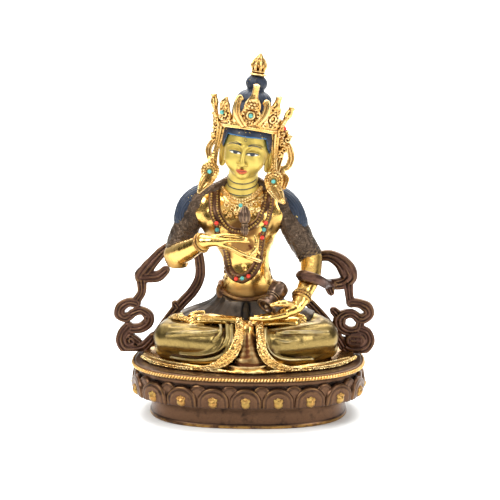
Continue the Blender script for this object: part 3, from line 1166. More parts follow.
def makeTrousers():
    clay = Clay((-60, -38, 1), (58, 32, 35), legs["cell"])
    clay.add(tube(legs["thighR"]))
    clay.add(tube(legs["thighL"]))
    clay.add(ball((-0.5, 12, 17), (27, 16.5, 15)), 3)
    clay.add(tube([(-45.0, -13, 14.6, 9.6), (-31, -21, 15.2, 9.4), (-15, -24.8, 14.6, 8.8)]), 2)
    clay.add(tube([(43.0, -12, 15.0, 9.8), (29, -20, 15.0, 9.9), (15, -24.5, 14.2, 8.8)]), 2)
    # lower calf, under the overhang of the shin
    clay.add(tube([(-48, -10, 7.6, 6.5), (-30, -19, 6.6, 8.2), (-13, -24, 7.5, 8.0)]), 1.5)
    clay.add(tube([(46, -9, 8.0, 6.5), (30, -18, 6.6, 8.2), (13, -23.5, 7.5, 8.0)]), 1.5)
    # his right leg: a long roll along the top, an S fold and two folds that turn down beside the hem
    clay.add(tube([(-45.5, -22.5, 18.6, 0.9), (-33, -28.5, 21.0, 1.2), (-20.5, -30.5, 22.0, 1.3),
                   (-14.5, -30.0, 23.2, 0.8)]), 1.2)
    clay.add(tube([(-15.0, -28.5, 25.6, 0.9), (-14.6, -31.5, 21.8, 1.2), (-18.2, -32.8, 18.4, 0.8)]), 1.0)
    clay.add(tube([(-11.3, -27.5, 25.6, 1.2), (-11.2, -32.8, 19.4, 1.5), (-15.4, -34.2, 13.6, 1.5),
                   (-26.0, -30.5, 9.0, 1.1), (-38, -25.5, 7.8, 0.7)]), 1.0)
    clay.add(tube([(-8.6, -28.0, 25.6, 1.0), (-8.8, -33.5, 17.4, 1.3), (-14.6, -34.4, 9.0, 1.4),
                   (-28.0, -30.0, 5.2, 1.2), (-44, -21.5, 4.8, 0.8)]), 1.0)
    clay.dig(tube([(-12.9, -31.5, 24.0, 0.5), (-13.2, -34.0, 18.6, 0.7), (-18.0, -34.6, 12.4, 0.8),
                   (-30, -31.0, 9.4, 0.8), (-44, -24.0, 9.2, 0.5)]), 1.2)
    # his left leg: two rolls that start at a notch, and folds beside the hem
    clay.add(tube([(17.4, -30.0, 21.4, 1.0), (23.5, -30.0, 22.2, 1.3), (34, -26.8, 21.4, 1.2),
                   (46.5, -20.0, 19.8, 0.8)]), 1.1)
    clay.add(tube([(16.6, -31.5, 18.6, 0.9), (22.0, -31.5, 17.2, 1.3), (28.5, -29.6, 17.4, 0.7)]), 0.9)
    clay.dig(tube([(19.4, -33.0, 20.2, 0.6), (24.0, -32.6, 19.0, 0.8), (29.5, -30.4, 19.0, 0.5)]), 1.0)
    clay.dig(tube([(17.0, -31.2, 25.2, 0.5), (28.0, -27.5, 25.2, 0.7), (40.0, -20.0, 24.4, 0.5)]), 1.4)
    clay.dig(tube([(-44.0, -19.5, 23.4, 0.5), (-30.0, -25.5, 25.2, 0.7), (-17.0, -27.5, 26.0, 0.5)]), 1.4)
    clay.add(tube([(10.8, -27.5, 23.6, 1.1), (11.8, -32.4, 16.4, 1.4), (16.0, -33.4, 10.2, 1.4),
                   (24.5, -31.0, 6.6, 1.2), (38, -24.5, 5.2, 0.8)]), 1.0)
    clay.dig(tube([(13.6, -32.5, 20.0, 0.5), (14.4, -34.0, 13.8, 0.8), (20.5, -33.6, 9.0, 0.8),
                   (32, -29.0, 7.4, 0.6), (46, -20.5, 8.0, 0.4)]), 1.2)
    pieceFromClay("trousers", clay, "tonedOliveGilding")


makeTrousers()


def makeFeet():
    clay = Clay((-38, -27, 18), (38, -8, 33), legs["feetCell"])
    for side, lift in ((-1, 0.6), (1, -0.6)):
        sole = [(4 * side, -17.5, 25.0 + lift, 3.2), (12 * side, -18.2, 25.6 + lift, 3.6),
                (20 * side, -17.6, 26.0 + lift, 3.9), (27 * side, -17.0, 25.6 + lift, 4.0)]
        clay.add(tube(sole, flat=(1, 1.25, 0.8)), 1.5)
        for k in range(5):
            # toes from the little one in front to the great toe behind, pointing outwards
            y, z, r = -21.6 + 2.3 * k, 22.8 + lift + 1.2 * k, (0.85, 0.92, 1.0, 1.05, 1.4)[k]
            rows = [(25.5 * side, y + 0.6, z + 0.6, r), (29.0 * side, y, z + 0.7, r * 1.05),
                    (32.0 * side, y - 0.2, z - 0.2, r * 1.1), (33.4 * side, y - 0.3, z - 0.9, r * 0.9)]
            clay.add(tube(rows), 0.12)
    pieceFromClay("feet", clay, "fireGiltCopper")


makeFeet()


def stacked(sections, low, high):
    # level ovals stacked up: height, middle x and y, half width, half depth
    rows = curvePoints(sections, 6)
    box = np.array([(x, y, z) for x in (-60, 60) for y in (-40, 40) for z in (low, high)], float)

    def measure(x, y, z):
        column = [np.interp(z, rows[:, 0], rows[:, i]).astype(np.float32) for i in range(1, 5)]
        away = np.sqrt(((x - column[0]) / column[2]) ** 2 + ((y - column[1]) / column[3]) ** 2) - 1
        return np.maximum(away * np.minimum(column[2], column[3]), np.maximum(low - z, z - high))

    return [(box.min(0), box.max(0), measure)]


lap = {
    "rise": 0.53, "front": 35.3, "frontY": -7.0, "top": 42.6, "folds": 22, "foldDepth": 0.3,
    "beltCell": 0.36, "beltRadius": 1.35, "beltMiddle": (-0.5, 5.4), "beltReach": (16.4, 12.4),
    "beadReach": (17.6, 13.6),
}


def makeLapCloth():
    clay = Clay((-46, -24, 19), (46, 26, 46), legs["sashCell"])
    for key in ("thighR", "thighL"):
        clay.add(tube([(x, y, z, r + 0.9) for x, y, z, r in legs[key]]))
    clay.add(ball((-0.5, 12, 17), (27.9, 17.4, 15.9)), 3)
    clay.add(stacked([(24, -0.6, 0, 40, 17), (27, -0.6, 1, 34, 16), (30, -0.6, 2, 27, 15),
                      (33, -0.6, 3.4, 22, 14), (36, -0.6, 4.6, 19, 13.4), (40, -0.5, 5.4, 17.6, 12.8),
                      (44, -0.5, 5.8, 17.0, 12.4)], 22, 44), 3)
    clay.add(ball((0, -9.5, 25.5), (15, 9, 4.4)), 2)

    def belted(x, y, z):
        # cut along the belt, at the front edge over the feet and at the knees
        belt = z - np.minimum(lap["front"] + lap["rise"] * np.maximum(y - lap["frontY"], 0), lap["top"])
        front = -y - 15.5 - 0.35 * (z - 26) + 0.02 * np.abs(x)
        sides = np.abs(x) - 38.5 + 0.6 * (28 - z)
        return np.maximum(np.maximum(belt, front), np.maximum(sides, 24.2 - z))

    clay.keep(belted)

    def folds(x, y, z):
        # shallow folds that fan out from the middle of the belt
        around = np.arctan2(y - 14, x + 0.5)
        wave = np.cos(around * lap["folds"] + 0.3 * np.sin(0.3 * z)) ** 3
        return lap["foldDepth"] * wave * np.clip((np.abs(x) - 4) / 10, 0, 1)

    clay.press(folds)
    # the fold that hangs down the middle, and two softer ones beside it
    clay.add(tube([(-0.9, -9.5, 33.5, 1.6), (-1.0, -14.0, 30.5, 2.0), (-1.2, -18.4, 26.4, 2.0),
                   (-1.2, -20.6, 24.4, 1.2)], flat=(1, 0.8, 1)), 0.8)
    clay.dig(tube([(-4.6, -11.5, 33.0, 0.6), (-5.2, -16.5, 28.0, 0.8), (-6.0, -18.5, 24.6, 0.6)]), 0.8)
    clay.dig(tube([(3.0, -11.5, 33.0, 0.6), (3.0, -16.5, 28.0, 0.8), (3.4, -18.5, 24.6, 0.6)]), 0.8)
    # room for the mouth of the bell
    clay.dig(ball((10.6, -25.4, 35.4), (8.4, 9.4, 8.0)), 0.6)

    def darkMiddle(p):
        return 0.9 * (1 - smoothStep(np.abs(p[:, 0] + 1), 1.6, 3.6)) * smoothStep(-p[:, 1], 6, 9)

    pieceFromClay("lapCloth", clay, "darkenedCopper", paints={"stained": darkMiddle})


makeLapCloth()


def makeBelt():
    # narrow beaded belt over the top of the lap cloth, lower at the front
    clay = Clay((-22, -11, 33), (21, 22, 46), lap["beltCell"])
    loop, beads = [], []
    (middleX, middleY), (wide, deep), (beadWide,
                                       beadDeep) = lap["beltMiddle"], lap["beltReach"], lap["beadReach"]
    for i in range(65):
        a = 2 * math.pi * i / 64
        x, y = middleX + wide * math.sin(a), middleY - deep * math.cos(a)
        z = 0.6 + min(lap["front"] + lap["rise"] * max(y - lap["frontY"], 0), lap["top"])
        loop.append((x, y, z, lap["beltRadius"]))
        beads.append((middleX + beadWide * math.sin(a), middleY - beadDeep * math.cos(a), z - 2.2))
    clay.add(tube(loop, steps=1))
    clay.add(tube([(x * 1.03, (y - middleY) * 1.03 + middleY, z - 1.9, 0.7) for x, y, z, r in loop],
                  steps=1), 0.3)
    for place in beads[:-1:2]:
        clay.add(ball(place, (0.9, 0.8, 0.8)), 0.5)
    # flap of cloth that stands up beside the belt on his right
    clay.add(tube([(-16.4, -1.0, 36.5, 1.9), (-17.4, -0.5, 40.0, 1.7), (-17.2, 0.5, 42.6, 1.1)]), 1.2)
    pieceFromClay("belt", clay, "oxidisedCopper")


makeBelt()

seat = {"pleats": 7, "pleatDepth": 0.22, "edge": 0.55}


def makeSeatCloth():
    clay = Clay((-65, -42, -0.6), (65, 39, 27), legs["clothCell"])
    clay.add(stacked([(-1, 0, 0, 64.0, 38.4), (0, 0, 0, 63.8, 38.2), (1, 0, 0, 63.2, 37.8),
                      (2, 0, 0, 62, 37)], -1, 1.25))
    clay.add(ball((-0.3, -1.5, -0.6), (58.0, 35.0, 3.8)), 2.5)
    clay.add(ball((-0.5, 14, 3), (44, 24, 7)), 3)
    # the piece that falls between the shins and opens into a fan on the seat
    clay.add(tube([(-1.5, -21, 23, 5.0), (0, -27, 14, 6.5), (1.5, -31, 4, 8.6)], flat=(1, 0.7, 1)), 2)
    clay.add(ball((1.2, -31.5, 0.6), (20.0, 8.6, 2.8)), 2)

    def pleats(x, y, z):
        share = np.clip((26 - z) / 26, 0, 1)
        spread = (x - 1.0 * share) / (3.5 + 17 * share ** 1.5)
        lines = np.cos(spread * math.pi * seat["pleats"] / 2) * (np.abs(spread) < 1.15)
        return seat["pleatDepth"] * lines * (y < -22)

    clay.press(pleats)
    # rolled edges at the front of the fan
    thin = seat["edge"]
    clay.add(tube([(-18.0, -35.6, 1.9, 0.7), (-8.0, -39.0, 1.0, thin), (3, -39.9, 0.8, thin),
                   (13, -38.4, 1.1, thin), (20, -35.4, 2.2, 0.7)]), 0.5)
    clay.add(tube([(-10.0, -35.5, 3.9, 0.5), (-4.0, -37.2, 3.2, 0.7), (4, -37.6, 3.0, 0.7),
                   (11, -36.0, 4.0, 0.5)]), 1.0)
    clay.add(tube([(-5.5, -34.4, 7.6, 0.5), (-1.0, -35.8, 6.6, 0.8), (4.6, -34.6, 8.0, 0.5)]), 1.2)
    clay.add(ball((0.4, -24.4, 22.5), (3.6, 3.2, 3.6)), 1.5)
    # wavy folds of the cloth under the shins, out to its tips
    clay.add(tube([(-22, -34.4, 2.2, 0.7), (-34, -29.8, 2.6, 0.9), (-46, -22.5, 2.4, 0.7),
                   (-58, -10.0, 2.0, 0.8)]), 1.2)
    clay.add(tube([(24, -33.6, 2.2, 0.7), (36, -28.4, 2.6, 0.9), (48, -20.5, 2.4, 0.7),
                   (59.5, -8.0, 2.0, 0.8)]), 1.2)

    clay.keep(lambda x, y, z: 0 * (x + y) - z)  # flat underneath

    def brownFan(p):
        x, y, z = np.abs(p[:, 0] - 0.5), p[:, 1], p[:, 2]
        fan = (1 - smoothStep(x, 9 + 0.5 * (20 - z), 13 + 0.5 * (20 - z))) * smoothStep(z, 2.2, 3.6)
        return 0.85 * fan * (1 - smoothStep(z, 18.5, 22)) * smoothStep(-y, 14, 20)

    pieceFromClay("seatCloth", clay, "ornamentGiltCopper", paints={"stained": brownFan})


makeSeatCloth()

hems = {"thick": 0.26, "edge": 0.36}


def sideways(rows, share):
    # a line parallel to a strap's middle, share of its half width to one side
    beside = []
    for i, (x, y, z, r) in enumerate(rows):
        a, b = rows[max(i - 1, 0)], rows[min(i + 1, len(rows) - 1)]
        dx, dz = b[0] - a[0], b[2] - a[2]
        length = math.hypot(dx, dz) or 1.0
        beside.append((x - dz / length * r * share, y, z + dx / length * r * share, r))
    return beside


def makeHems():
    clay = Clay((-64, -42, -0.4), (66, -4, 29), legs["hemCell"])
    right = [(-4.4, -22.5, 27.2, 2.2), (-4.2, -31.6, 20.5, 2.8), (-6.6, -35.4, 13.2, 3.1),
             (-11.4, -37.0, 7.8, 3.1), (-17.0, -37.2, 4.6, 2.2), (-23, -36.0, 2.6, 1.2),
             (-32, -33.4, 1.4, 0.8), (-44, -28.0, 1.2, 0.8), (-55, -19.4, 1.2, 0.8),
             (-62.0, -9.5, 1.8, 0.9)]
    left = [(7.2, -22.5, 25.0, 2.2), (8.2, -31.2, 18.6, 2.5), (9.4, -34.8, 12.2, 2.7),
            (13.4, -36.6, 6.9, 2.7), (19.5, -36.6, 3.8, 1.9), (26, -34.8, 2.2, 1.1), (34, -32.4, 1.4, 0.8),
            (47, -26.2, 1.2, 0.8), (56, -18.4, 1.4, 0.8), (63.0, -8.0, 2.2, 1.0)]
    for rows in (right, left):
        clay.add(strap(rows, hems["thick"], ridges=0, relief=0.0, steps=6), 0.3)
        for share in (-0.86, 0.86):
            edge = [(x, y - r * hems["thick"] * 0.8, z, hems["edge"]) for x, y, z,
                    r in sideways(rows, share)]
            clay.add(tube(edge, steps=6), 0.3)
    # corner of the cloth that shows beside his right foot
    clay.add(strap([(-46.5, -8.0, 24.6, 0.6), (-42.0, -11.5, 26.2, 2.0), (-37.5, -15.0, 26.4, 2.0),
                    (-33.5, -17.0, 25.4, 1.4)], 0.5, ridges=0, relief=0.0), 0.4)
    pieceFromClay("gildedHems", clay, "chasedGiltCopper")


makeHems()

# scarves

scarves = {"cell": 0.42, "thick": 0.6, "relief": 0.3, "edge": 0.6, "seat": 0.15, "fuller": 1.18,
           "full": {"scarf_right": (2, 3, 4), "scarf_left": (3,)}}

scarfRuns = {
    "scarf_right": [
        [(-33, 12, 66, 2.6), (-42, 11.5, 65.5, 2.8), (-50.3, 10, 61.4, 3.0), (-56.3, 10, 55.3, 3.4),
         (-61.2, 10, 49.4, 4.0), (-63.8, 10, 45.8, 4.2), (-58.3, 10, 45.5, 3.4), (-53.2, 10, 46.2, 3.2),
         (-49.2, 10, 49.7, 2.6)],
        [(-63.8, 10, 43.8, 3.0), (-63.6, 10, 36.6, 2.5), (-66.2, 10, 31.9, 2.5), (-67.2, 10, 29.3, 2.4)],
        [(-66.9, 10, 29.3, 2.4), (-71.4, 10, 29.9, 2.2), (-76.3, 10, 26.9, 2.6), (-77, 10, 22.6, 2.8),
         (-73.5, 10, 20.6, 2.4), (-69.6, 10, 22.6, 2.0)],
        [(-70.2, 10, 22.9, 2.0), (-64.4, 10, 25.0, 2.0), (-59.9, 10, 22.0, 2.6), (-59.9, 10, 18.1, 2.8),
         (-63.9, 10, 14.7, 2.6), (-69.1, 10, 14.0, 2.4), (-72, 10, 15.3, 2.4)],
        [(-72, 10, 15.3, 2.4), (-75.3, 10, 11.3, 2.6), (-76.3, 10, 6.6, 2.8), (-73.8, 10, 2.4, 3.2),
         (-68.6, 10, 1.6, 3.4), (-63.4, 10, 2.4, 3.0), (-60.1, 10, 5.4, 2.6), (-56.7, 10, 9.0, 2.6)],
        [(-72, 10, 9, 2.8), (-68.8, 10, 6.8, 3.2), (-66.2, 10, 5, 2.8)],
        [(-33, 12, 66, 2.6), (-30, 11.5, 58.9, 2.8), (-28.8, 11.5, 49.7, 2.9), (-29.8, 11.5, 43.2, 3.0),
         (-33.7, 11.5, 36.2, 3.0), (-38.8, 11, 30.8, 3.0), (-43.9, 10.5, 25.1, 2.9), (-49.4, 10, 18.0, 2.7),
         (-54.6, 10, 10.6, 2.6), (-57.5, 10, 5.4, 2.6)],
        [(-42.5, 10.5, 27, 2.4), (-44, 10.5, 29.1, 2.2)],
    ],
    "scarf_left": [
        [(34, 12, 57.5, 2.8), (42.5, 10.5, 58.7, 3.0), (47.9, 10, 58.8, 3.4), (53.9, 10, 55.5, 4.4),
         (57.9, 10, 50.3, 5.4), (59.1, 10, 46.0, 4.8), (55.3, 10, 42.6, 3.6), (50.4, 8, 42.3, 3.2),
         (46.5, 4, 43.3, 2.9)],
        [(46.5, 5, 42.7, 2.6), (48.6, 6, 37.5, 2.0)],
        [(58.6, 10, 43.0, 3.0), (59.3, 10, 35.5, 2.4), (60.2, 10, 31.2, 2.6)],
        [(60.2, 10, 30.6, 2.4), (65.1, 10, 30.3, 2.2), (69.9, 10, 27.9, 2.8), (71.2, 10, 24.2, 2.6),
         (68.2, 10, 21.3, 2.6), (64.6, 10, 21.3, 2.4)],
        [(65.2, 10, 21.3, 2.4), (60.9, 10, 24.1, 2.6), (56.1, 10, 23.1, 3.0), (53.7, 10, 20.0, 4.0),
         (55.0, 10, 15.6, 3.2), (59.8, 10, 13.2, 2.8), (64.7, 10, 14.5, 2.8), (66.1, 10, 18.2, 2.6)],
        [(50, 10, 26, 2.2), (52.5, 10, 23.5, 2.6)],
        [(65.9, 10, 14.5, 2.6), (70.1, 10, 12.6, 2.8), (71.7, 10, 7.7, 3.2), (69, 10, 3.4, 3.4),
         (63.6, 10, 2.2, 3.6), (58.1, 10, 3.4, 3.4), (55.3, 10, 7.8, 2.6)],
        [(61, 10, 8, 4.4), (66, 10, 8, 4.2)],
        [(36, 11, 30, 2.6), (44, 10.5, 21.5, 2.6), (48.9, 10, 15.1, 2.6), (53.8, 10, 8.0, 2.6),
         (56.3, 10, 3.8, 2.6)],
    ],
}
forearmBand = [(46.5, 4, 43.3, 2.9), (44.4, -8, 46.5, 2.7), (40.8, -15.5, 50.0, 2.6),
               (36.5, -18.8, 52.2, 2.5), (32.5, -17.8, 53.0, 2.4), (30.0, -13.5, 52.0, 2.3)]
volutes = {
    "scarf_right": [((-62.6, 9.6, 46.2), 2.6, 200), ((-60.6, 9.6, 20.2), 2.0, 250),
                    ((-70.4, 9.4, 6.4), 3.6, 100)],
    "scarf_left": [((58.4, 9.4, 48.8), 3.2, 20), ((54.6, 9.6, 20.2), 2.4, 300),
                   ((64.4, 9.4, 7.4), 3.8, 80)],
}


def makeScarf(node, name, low, high):
    clay = Clay(low, high, scarves["cell"])
    for number, run in enumerate(scarfRuns[node]):
        if number in scarves["full"][node]:
            run = [(x, y, z, r * scarves["fuller"]) for x, y, z, r in run]
        clay.add(strap(run, scarves["thick"], relief=scarves["relief"]), 0.25)
        for share in (-0.84, 0.84):
            for back in (-1, 1):
                edge = [(x, y + back * r * 0.42, z, scarves["edge"]) for x, y, z, r in sideways(run, share)]
                clay.add(tube(edge), 0.25)
        for share in (-0.36, 0.36):
            clay.dig(tube([(x, y - r * 0.74, z, 0.55) for x, y, z, r in sideways(run, share)]), 0.25)
    if node == "scarf_left":
        clay.add(tube(forearmBand), 0.5)
        for share in (-0.5, 0.5):
            clay.add(tube([(x, y - 1.2, z + share * 3.6, 1.3) for x, y, z, r in forearmBand[1:]]), 0.3)
    for centre, reach, angle in volutes[node]:
        x, y, z = centre
        clay.add(curl((x, y - 1.3, z), reach, 0.8, 1.3, angle, 0.6), 0.4)
    clay.keep(lambda x, y, z: scarves["seat"] - z + 0 * x + 0 * y)
    pieceFromClay(name, clay, "reddenedCopper", [node])


makeScarf("scarf_right", "scarfRight", (-83, 5, -1), (-25, 17, 72))
makeScarf("scarf_left", "scarfLeft", (26, -24, -1), (78, 17, 66))

# crown, ear ribbons, rosettes and pendants, in the crown's own frame

crown = {
    "cell": 0.36, "bandX": 16.2, "bandY": 15.4, "bandZ": 11.0, "rise": 1.6, "bead": 0.6, "gemHoop": 2.05,
    "rosetteReach": 18.5, "rosetteHeight": -16.6,
}
# leaves: turn, foot, gem and top heights, width, reach at foot and top, roll, prong radius
crownLeaves = [
    (4.0, 13.0, 19.5, 37.6, 10.4, 16.8, 22.0, 3.5, 1.8), (-47.0, 12.0, 18.3, 30.8, 9.8, 17.4,
                                                          22.4, 9.0, 0.0),
    (46.0, 12.0, 18.5, 32.4, 9.8, 16.8, 21.4, 3.0, 1.85), (-82.0, 10.0, 16.5, 27.2, 7.8, 19.4,
                                                           23.4, 0.0, 1.8),
    (82.0, 10.0, 15.8, 26.4, 7.8, 17.2, 23.8, 0.0, 1.8),
]


def leafFrame(turn, height, reach, lean=0.0, roll=0.0):
    side = math.radians(turn)
    middle = (reach * math.sin(side), -reach * 1.08 * math.cos(side) + 1.0, height)
    turned = Matrix.Translation(middle) @ Matrix.Rotation(side, 4, "Z")
    return turned @ Matrix.Rotation(lean, 4, "X") @ Matrix.Rotation(math.radians(roll), 4, "Y")


def crownLeaf(clay, turn, low, gem, top, width, foot, tip, roll, prong):
    # one leaf: plate, beaded gem hoop, scrolls at its sides, a boss of beads above and a flat-topped prong
    lean = math.atan2(tip - foot, top - low)
    here = leafFrame(turn, gem, foot + (tip - foot) * (gem - low) / (top - low), lean, roll)
    half, down, up = width / 2, gem - low, (top - gem) / 17.3
    clay.add(ball((0, 0.9, -1.5), (half, 1.1, down - 0.5), at=here), 0.6)
    clay.add(ball((0, 0.9, -down + 1.5), (half * 1.15, 1.1, 2.8), at=here), 0.6)
    clay.add(ball((0, 0.7, 6.4 * up), (half * 0.72, 1.5, 4.2 * up), at=here), 0.4)
    clay.add(ring((0, -0.5, 0), crown["gemHoop"], 0.55, at=here), 0.15)
    clay.add(hoopOfBalls((0, -0.2, 0), half * 0.78, crown["bead"], 12, at=here), 0.12)
    clay.add(ring((0, 0.0, 0), half * 0.98, 0.42, at=here, tall=1.08), 0.2)
    for side in (-1, 1):
        clay.add(curl((half * 0.85 * side, 0.0, -down + 2.4), 1.9, 0.5, 1.15, 90, 0.55, here, side), 0.15)
        clay.add(curl((half * 0.72 * side, -0.2, 4.6 * up), 1.5, 0.4, 1.0, -90, 0.5, here, -side), 0.15)
        clay.add(tube([(half * 0.8 * side, 0.2, 4.0 * up, 0.5), (half * 0.74 * side, -0.2, 7.0 * up, 0.55),
                       (half * 0.3 * side, -0.2, 10.2 * up, 0.5)], at=here), 0.25)
        clay.add(ball((1.7 * side, -0.5, -down + 2.0), (0.85, 0.8, 0.85), at=here), 0.15)
    for x, z in ((-1.5, 5.0), (0, 4.6), (1.5, 5.0), (-0.8, 6.5), (0.8, 6.5), (-1.6, 8.0), (0, 8.1),
                 (1.6, 8.0), (0, 9.6)):
        clay.add(ball((x * half / 4.3, -0.8, z * up), (0.78, 0.7, 0.78), at=here), 0.12)
    if prong:
        start, end = 9.4 * up, top - gem
        clay.add(tube([(0, 0.3, start, prong * 1.35), (0, 0.3, start + 1.6, prong * 1.05),
                       (0, 0.3, end - 1.3, prong * 0.95)], at=here), 0.4)
        clay.add(ball((0, 0.3, end - 0.6), (prong * 1.12, prong * 1.12, 0.7), at=here), 0.2)
        clay.add(ring((0, 0, 0), prong * 0.95, 0.32, at=here @ Matrix.Translation((0, 0.3, start + 1.7))
                      @ Matrix.Rotation(math.pi / 2, 4, "X")), 0.15)
        # a worn hollow down its face
        clay.dig(tube([(0, -prong * 0.9, start + 2.6, 0.3), (0, -prong * 0.9, end - 1.6, 0.3)],
                      at=here), 0.3)
    else:
        # the prong of this leaf is broken off
        clay.add(tube([(0.1, 0.4, 8.6 * up, 1.7), (0.3, 0.4, 10.4 * up, 1.5), (0.6, 0.4, 12.4 * up, 1.0)],
                      at=here), 0.5)


def makeCrown():
    clay = Clay((-31, -25, -31), (33, 19, 40), crown["cell"])
    low, middle, high, beads = [], [], [], []
    for i in range(73):
        a = 2 * math.pi * i / 72
        front = max(0.0, math.cos(a))
        x, y = crown["bandX"] * math.sin(a), -crown["bandY"] * math.cos(a) - 1.6
        z = crown["bandZ"] + crown["rise"] * front ** 2
        low.append((x, y - 0.2 * front, z - 1.1, 0.6))
        middle.append((x, y, z, 1.1))
        high.append((x * 1.03, (y + 1.6) * 1.03 - 1.6, z + 1.3, 0.7))
        beads.append((x * 1.05, (y + 1.6) * 1.05 - 1.6, z + 0.1))
    clay.add(tube(middle, steps=1))
    clay.add(tube(low, steps=1), 0.2)
    clay.add(tube(high, steps=1), 0.2)
    for place in beads[:-1]:
        clay.add(ball(place, (0.55, 0.55, 0.55)), 0.12)
    for leaf in crownLeaves:
        crownLeaf(clay, *leaf)
    # a wall of curls and beads between the leaves
    for turn in (-74, -66, -29, -21, 26, 34, 66, 74):
        side = 1 if turn > 0 else -1
        here = leafFrame(turn, 14.6, 17.2, 0.12)
        clay.add(ball((0, 0.8, -0.6), (2.3, 0.9, 3.0), at=here), 0.4)
        clay.add(curl((0, -0.2, -0.2), 1.9, 0.5, 1.25, 90, 0.6, here, side), 0.2)
        clay.add(ball((0.3, 0.1, 2.9), (1.0, 0.9, 1.1), at=here), 0.3)
        clay.add(ball((-1.7, 0.1, 2.2), (0.7, 0.7, 0.7), at=here), 0.25)
    for turn in range(-164, -99, 16):
        for side in (-1, 1):
            here = leafFrame(turn * side, 13.6, 16.4, 0.1)
            clay.add(ball((0, 0.6, -0.4), (2.4, 0.9, 2.6), at=here), 0.4)
            clay.add(curl((0, -0.2, 0.2), 1.8, 0.5, 1.25, 90, 0.55, here, side), 0.2)
    # horned loops beside the front leaf, each in a double line that curls at its top
    horns = [
        [(-2.6, -18.2, 13.0), (-6.4, -18.9, 18.0), (-7.9, -19.0, 22.6), (-7.4, -18.6, 27.4),
         (-5.9, -18.4, 29.0), (-4.6, -18.6, 27.8)],
        [(5.9, -18.2, 14.6), (9.4, -18.3, 19.6), (10.5, -18.3, 24.2), (10.2, -18.2, 27.4),
         (8.7, -18.2, 28.4), (7.6, -18.4, 27.0)],
    ]
    for run in horns:
        clay.add(tube([(*p, r) for p, r in zip(run, (1.1, 1.4, 1.4, 1.2, 1.0, 0.7))]), 0.3)
        inner = [(x + (1.9 if run is horns[0] else -1.9), y - 0.4, z + 0.3, 0.75) for x, y, z in run[:4]]
        clay.add(tube(inner), 0.2)
        x, y, z = run[2]
        clay.add(ball((x * 0.93, y + 0.7, z - 2.5), (1.5, 0.7, 6.0)), 0.4)
        x, y, z = run[4]
        clay.add(ball((x * 0.94, y - 0.3, z - 1.6), (0.95, 0.8, 0.95)), 0.2)
    # plates beside the ears, set with beads and curls
    for side in (-1, 1):
        rows = [(side * 15.6, -4.6, 10.0, 2.6), (side * 16.0, -4.0, 3.0, 2.3),
                (side * 16.9, -4.4, -4.0, 1.6), (side * 17.6, -5.2, -12.0, 2.3)]
        clay.add(strap(rows, 0.7, ridges=1.0, relief=0.2), 0.4)
        curls = ((19.8, 13.6, 1), (18.8, 9.6, -1), (18.4, 5.6, 1), (19.0, 2.2, -1)) if side < 0 else (
            (19.4, 9.8, 1), (22.6, 7.2, -1), (20.0, 4.6, 1), (21.6, 1.2, -1), (19.6, -2.0, 1))
        for k, (x, z, hand) in enumerate(curls):
            clay.add(ball((side * x, -1.4 - 0.2 * k, z), (2.2, 1.0, 2.3)), 0.4)
            clay.add(curl((side * x, -2.6 - 0.2 * k, z), 2.1, 0.5, 1.2, 90, 0.65, None, side * hand), 0.2)
            clay.add(ball((side * (x + 2.1), -1.8, z + 1.9), (0.9, 0.8, 0.9)), 0.25)
    # his left ribbon waves down in an S, his right one turns back in a loop
    waves = [
        [(19.0, 0.5, 6.0, 1.6), (23.4, 1.0, 3.0, 2.0), (26.0, 1.2, -3.2, 2.1), (25.0, 0.8, -8.6, 2.0),
         (22.2, 0.0, -10.6, 1.8), (22.6, -1.0, -13.4, 1.9), (25.0, -1.6, -15.8, 2.1),
         (24.4, -2.4, -20.0, 1.8)],
        [(19.0, 0.0, 3.0, 1.6), (20.0, 0.0, -2.6, 1.9), (19.2, -0.6, -8.6, 1.9), (18.4, -1.4, -13.6, 2.2)],
        [(-18.6, 0.5, 1.6, 1.5), (-20.8, 0.5, -2.2, 1.8), (-21.8, 0.2, -6.0, 1.9), (-20.4, -0.4, -9.6, 1.8),
         (-18.8, -1.2, -12.6, 2.4), (-19.4, -2.4, -16.4, 2.8)],
    ]
    for wave in waves:
        clay.add(strap(wave, 0.6, ridges=1.0, relief=0.2), 0.4)
        for share in (-0.8, 0.8):
            clay.add(tube([(x, y - 1.0, z, 0.42) for x, y, z, r in sideways(wave, share)]), 0.2)
    for side in (-1, 1):
        # rosette: plate, two hoops, petals of beads round the stone
        rose = (side * crown["rosetteReach"], -6.4, crown["rosetteHeight"])
        clay.add(ball(rose, (5.0, 1.9, 5.0)), 0.4)
        clay.add(ring((rose[0], rose[1] - 1.0, rose[2]), 4.6, 0.6), 0.2)
        clay.add(hoopOfBalls((rose[0], rose[1] - 1.7, rose[2]), 3.45, 0.72, 14), 0.15)
        clay.add(ring((rose[0], rose[1] - 1.8, rose[2]), 2.15, 0.42), 0.15)
        clay.add(hoopOfBalls((rose[0], rose[1] - 0.6, rose[2]), 5.2, 0.6, 20), 0.2)
        # pendant: a broad leaf with a raised edge, a rib and rows of small veins
        reach = (26.6, -28.0) if side > 0 else (22.8, -29.6)
        ends = [(18.6, -7.0, -20.2, 4.2), (18.6 + (reach[0] - 18.6) * 0.35, -8.4, -23.0, 3.7),
                (18.6 + (reach[0] - 18.6) * 0.68, -9.8, -26.0, 2.3), (reach[0], -11.6, reach[1], 0.6)]
        drop = mirrored(ends, side)
        clay.add(strap(drop, 0.34, ridges=0, relief=0.0), 0.6)
        for share in (-0.88, 0.0, 0.88):
            clay.add(tube([(x, y - r * 0.36, z, 0.48) for x, y, z, r in sideways(drop, share)]), 0.2)
        rows = curvePoints(drop, 4).tolist()
        for x, y, z, r in rows[1:-2]:
            for share in (-0.5, 0.5):
                clay.add(ball((x + share * r * 0.9, y - r * 0.4, z + side * share * r * 0.55),
                              (0.3 + 0.22 * r, 0.6, 0.62)), 0.15)
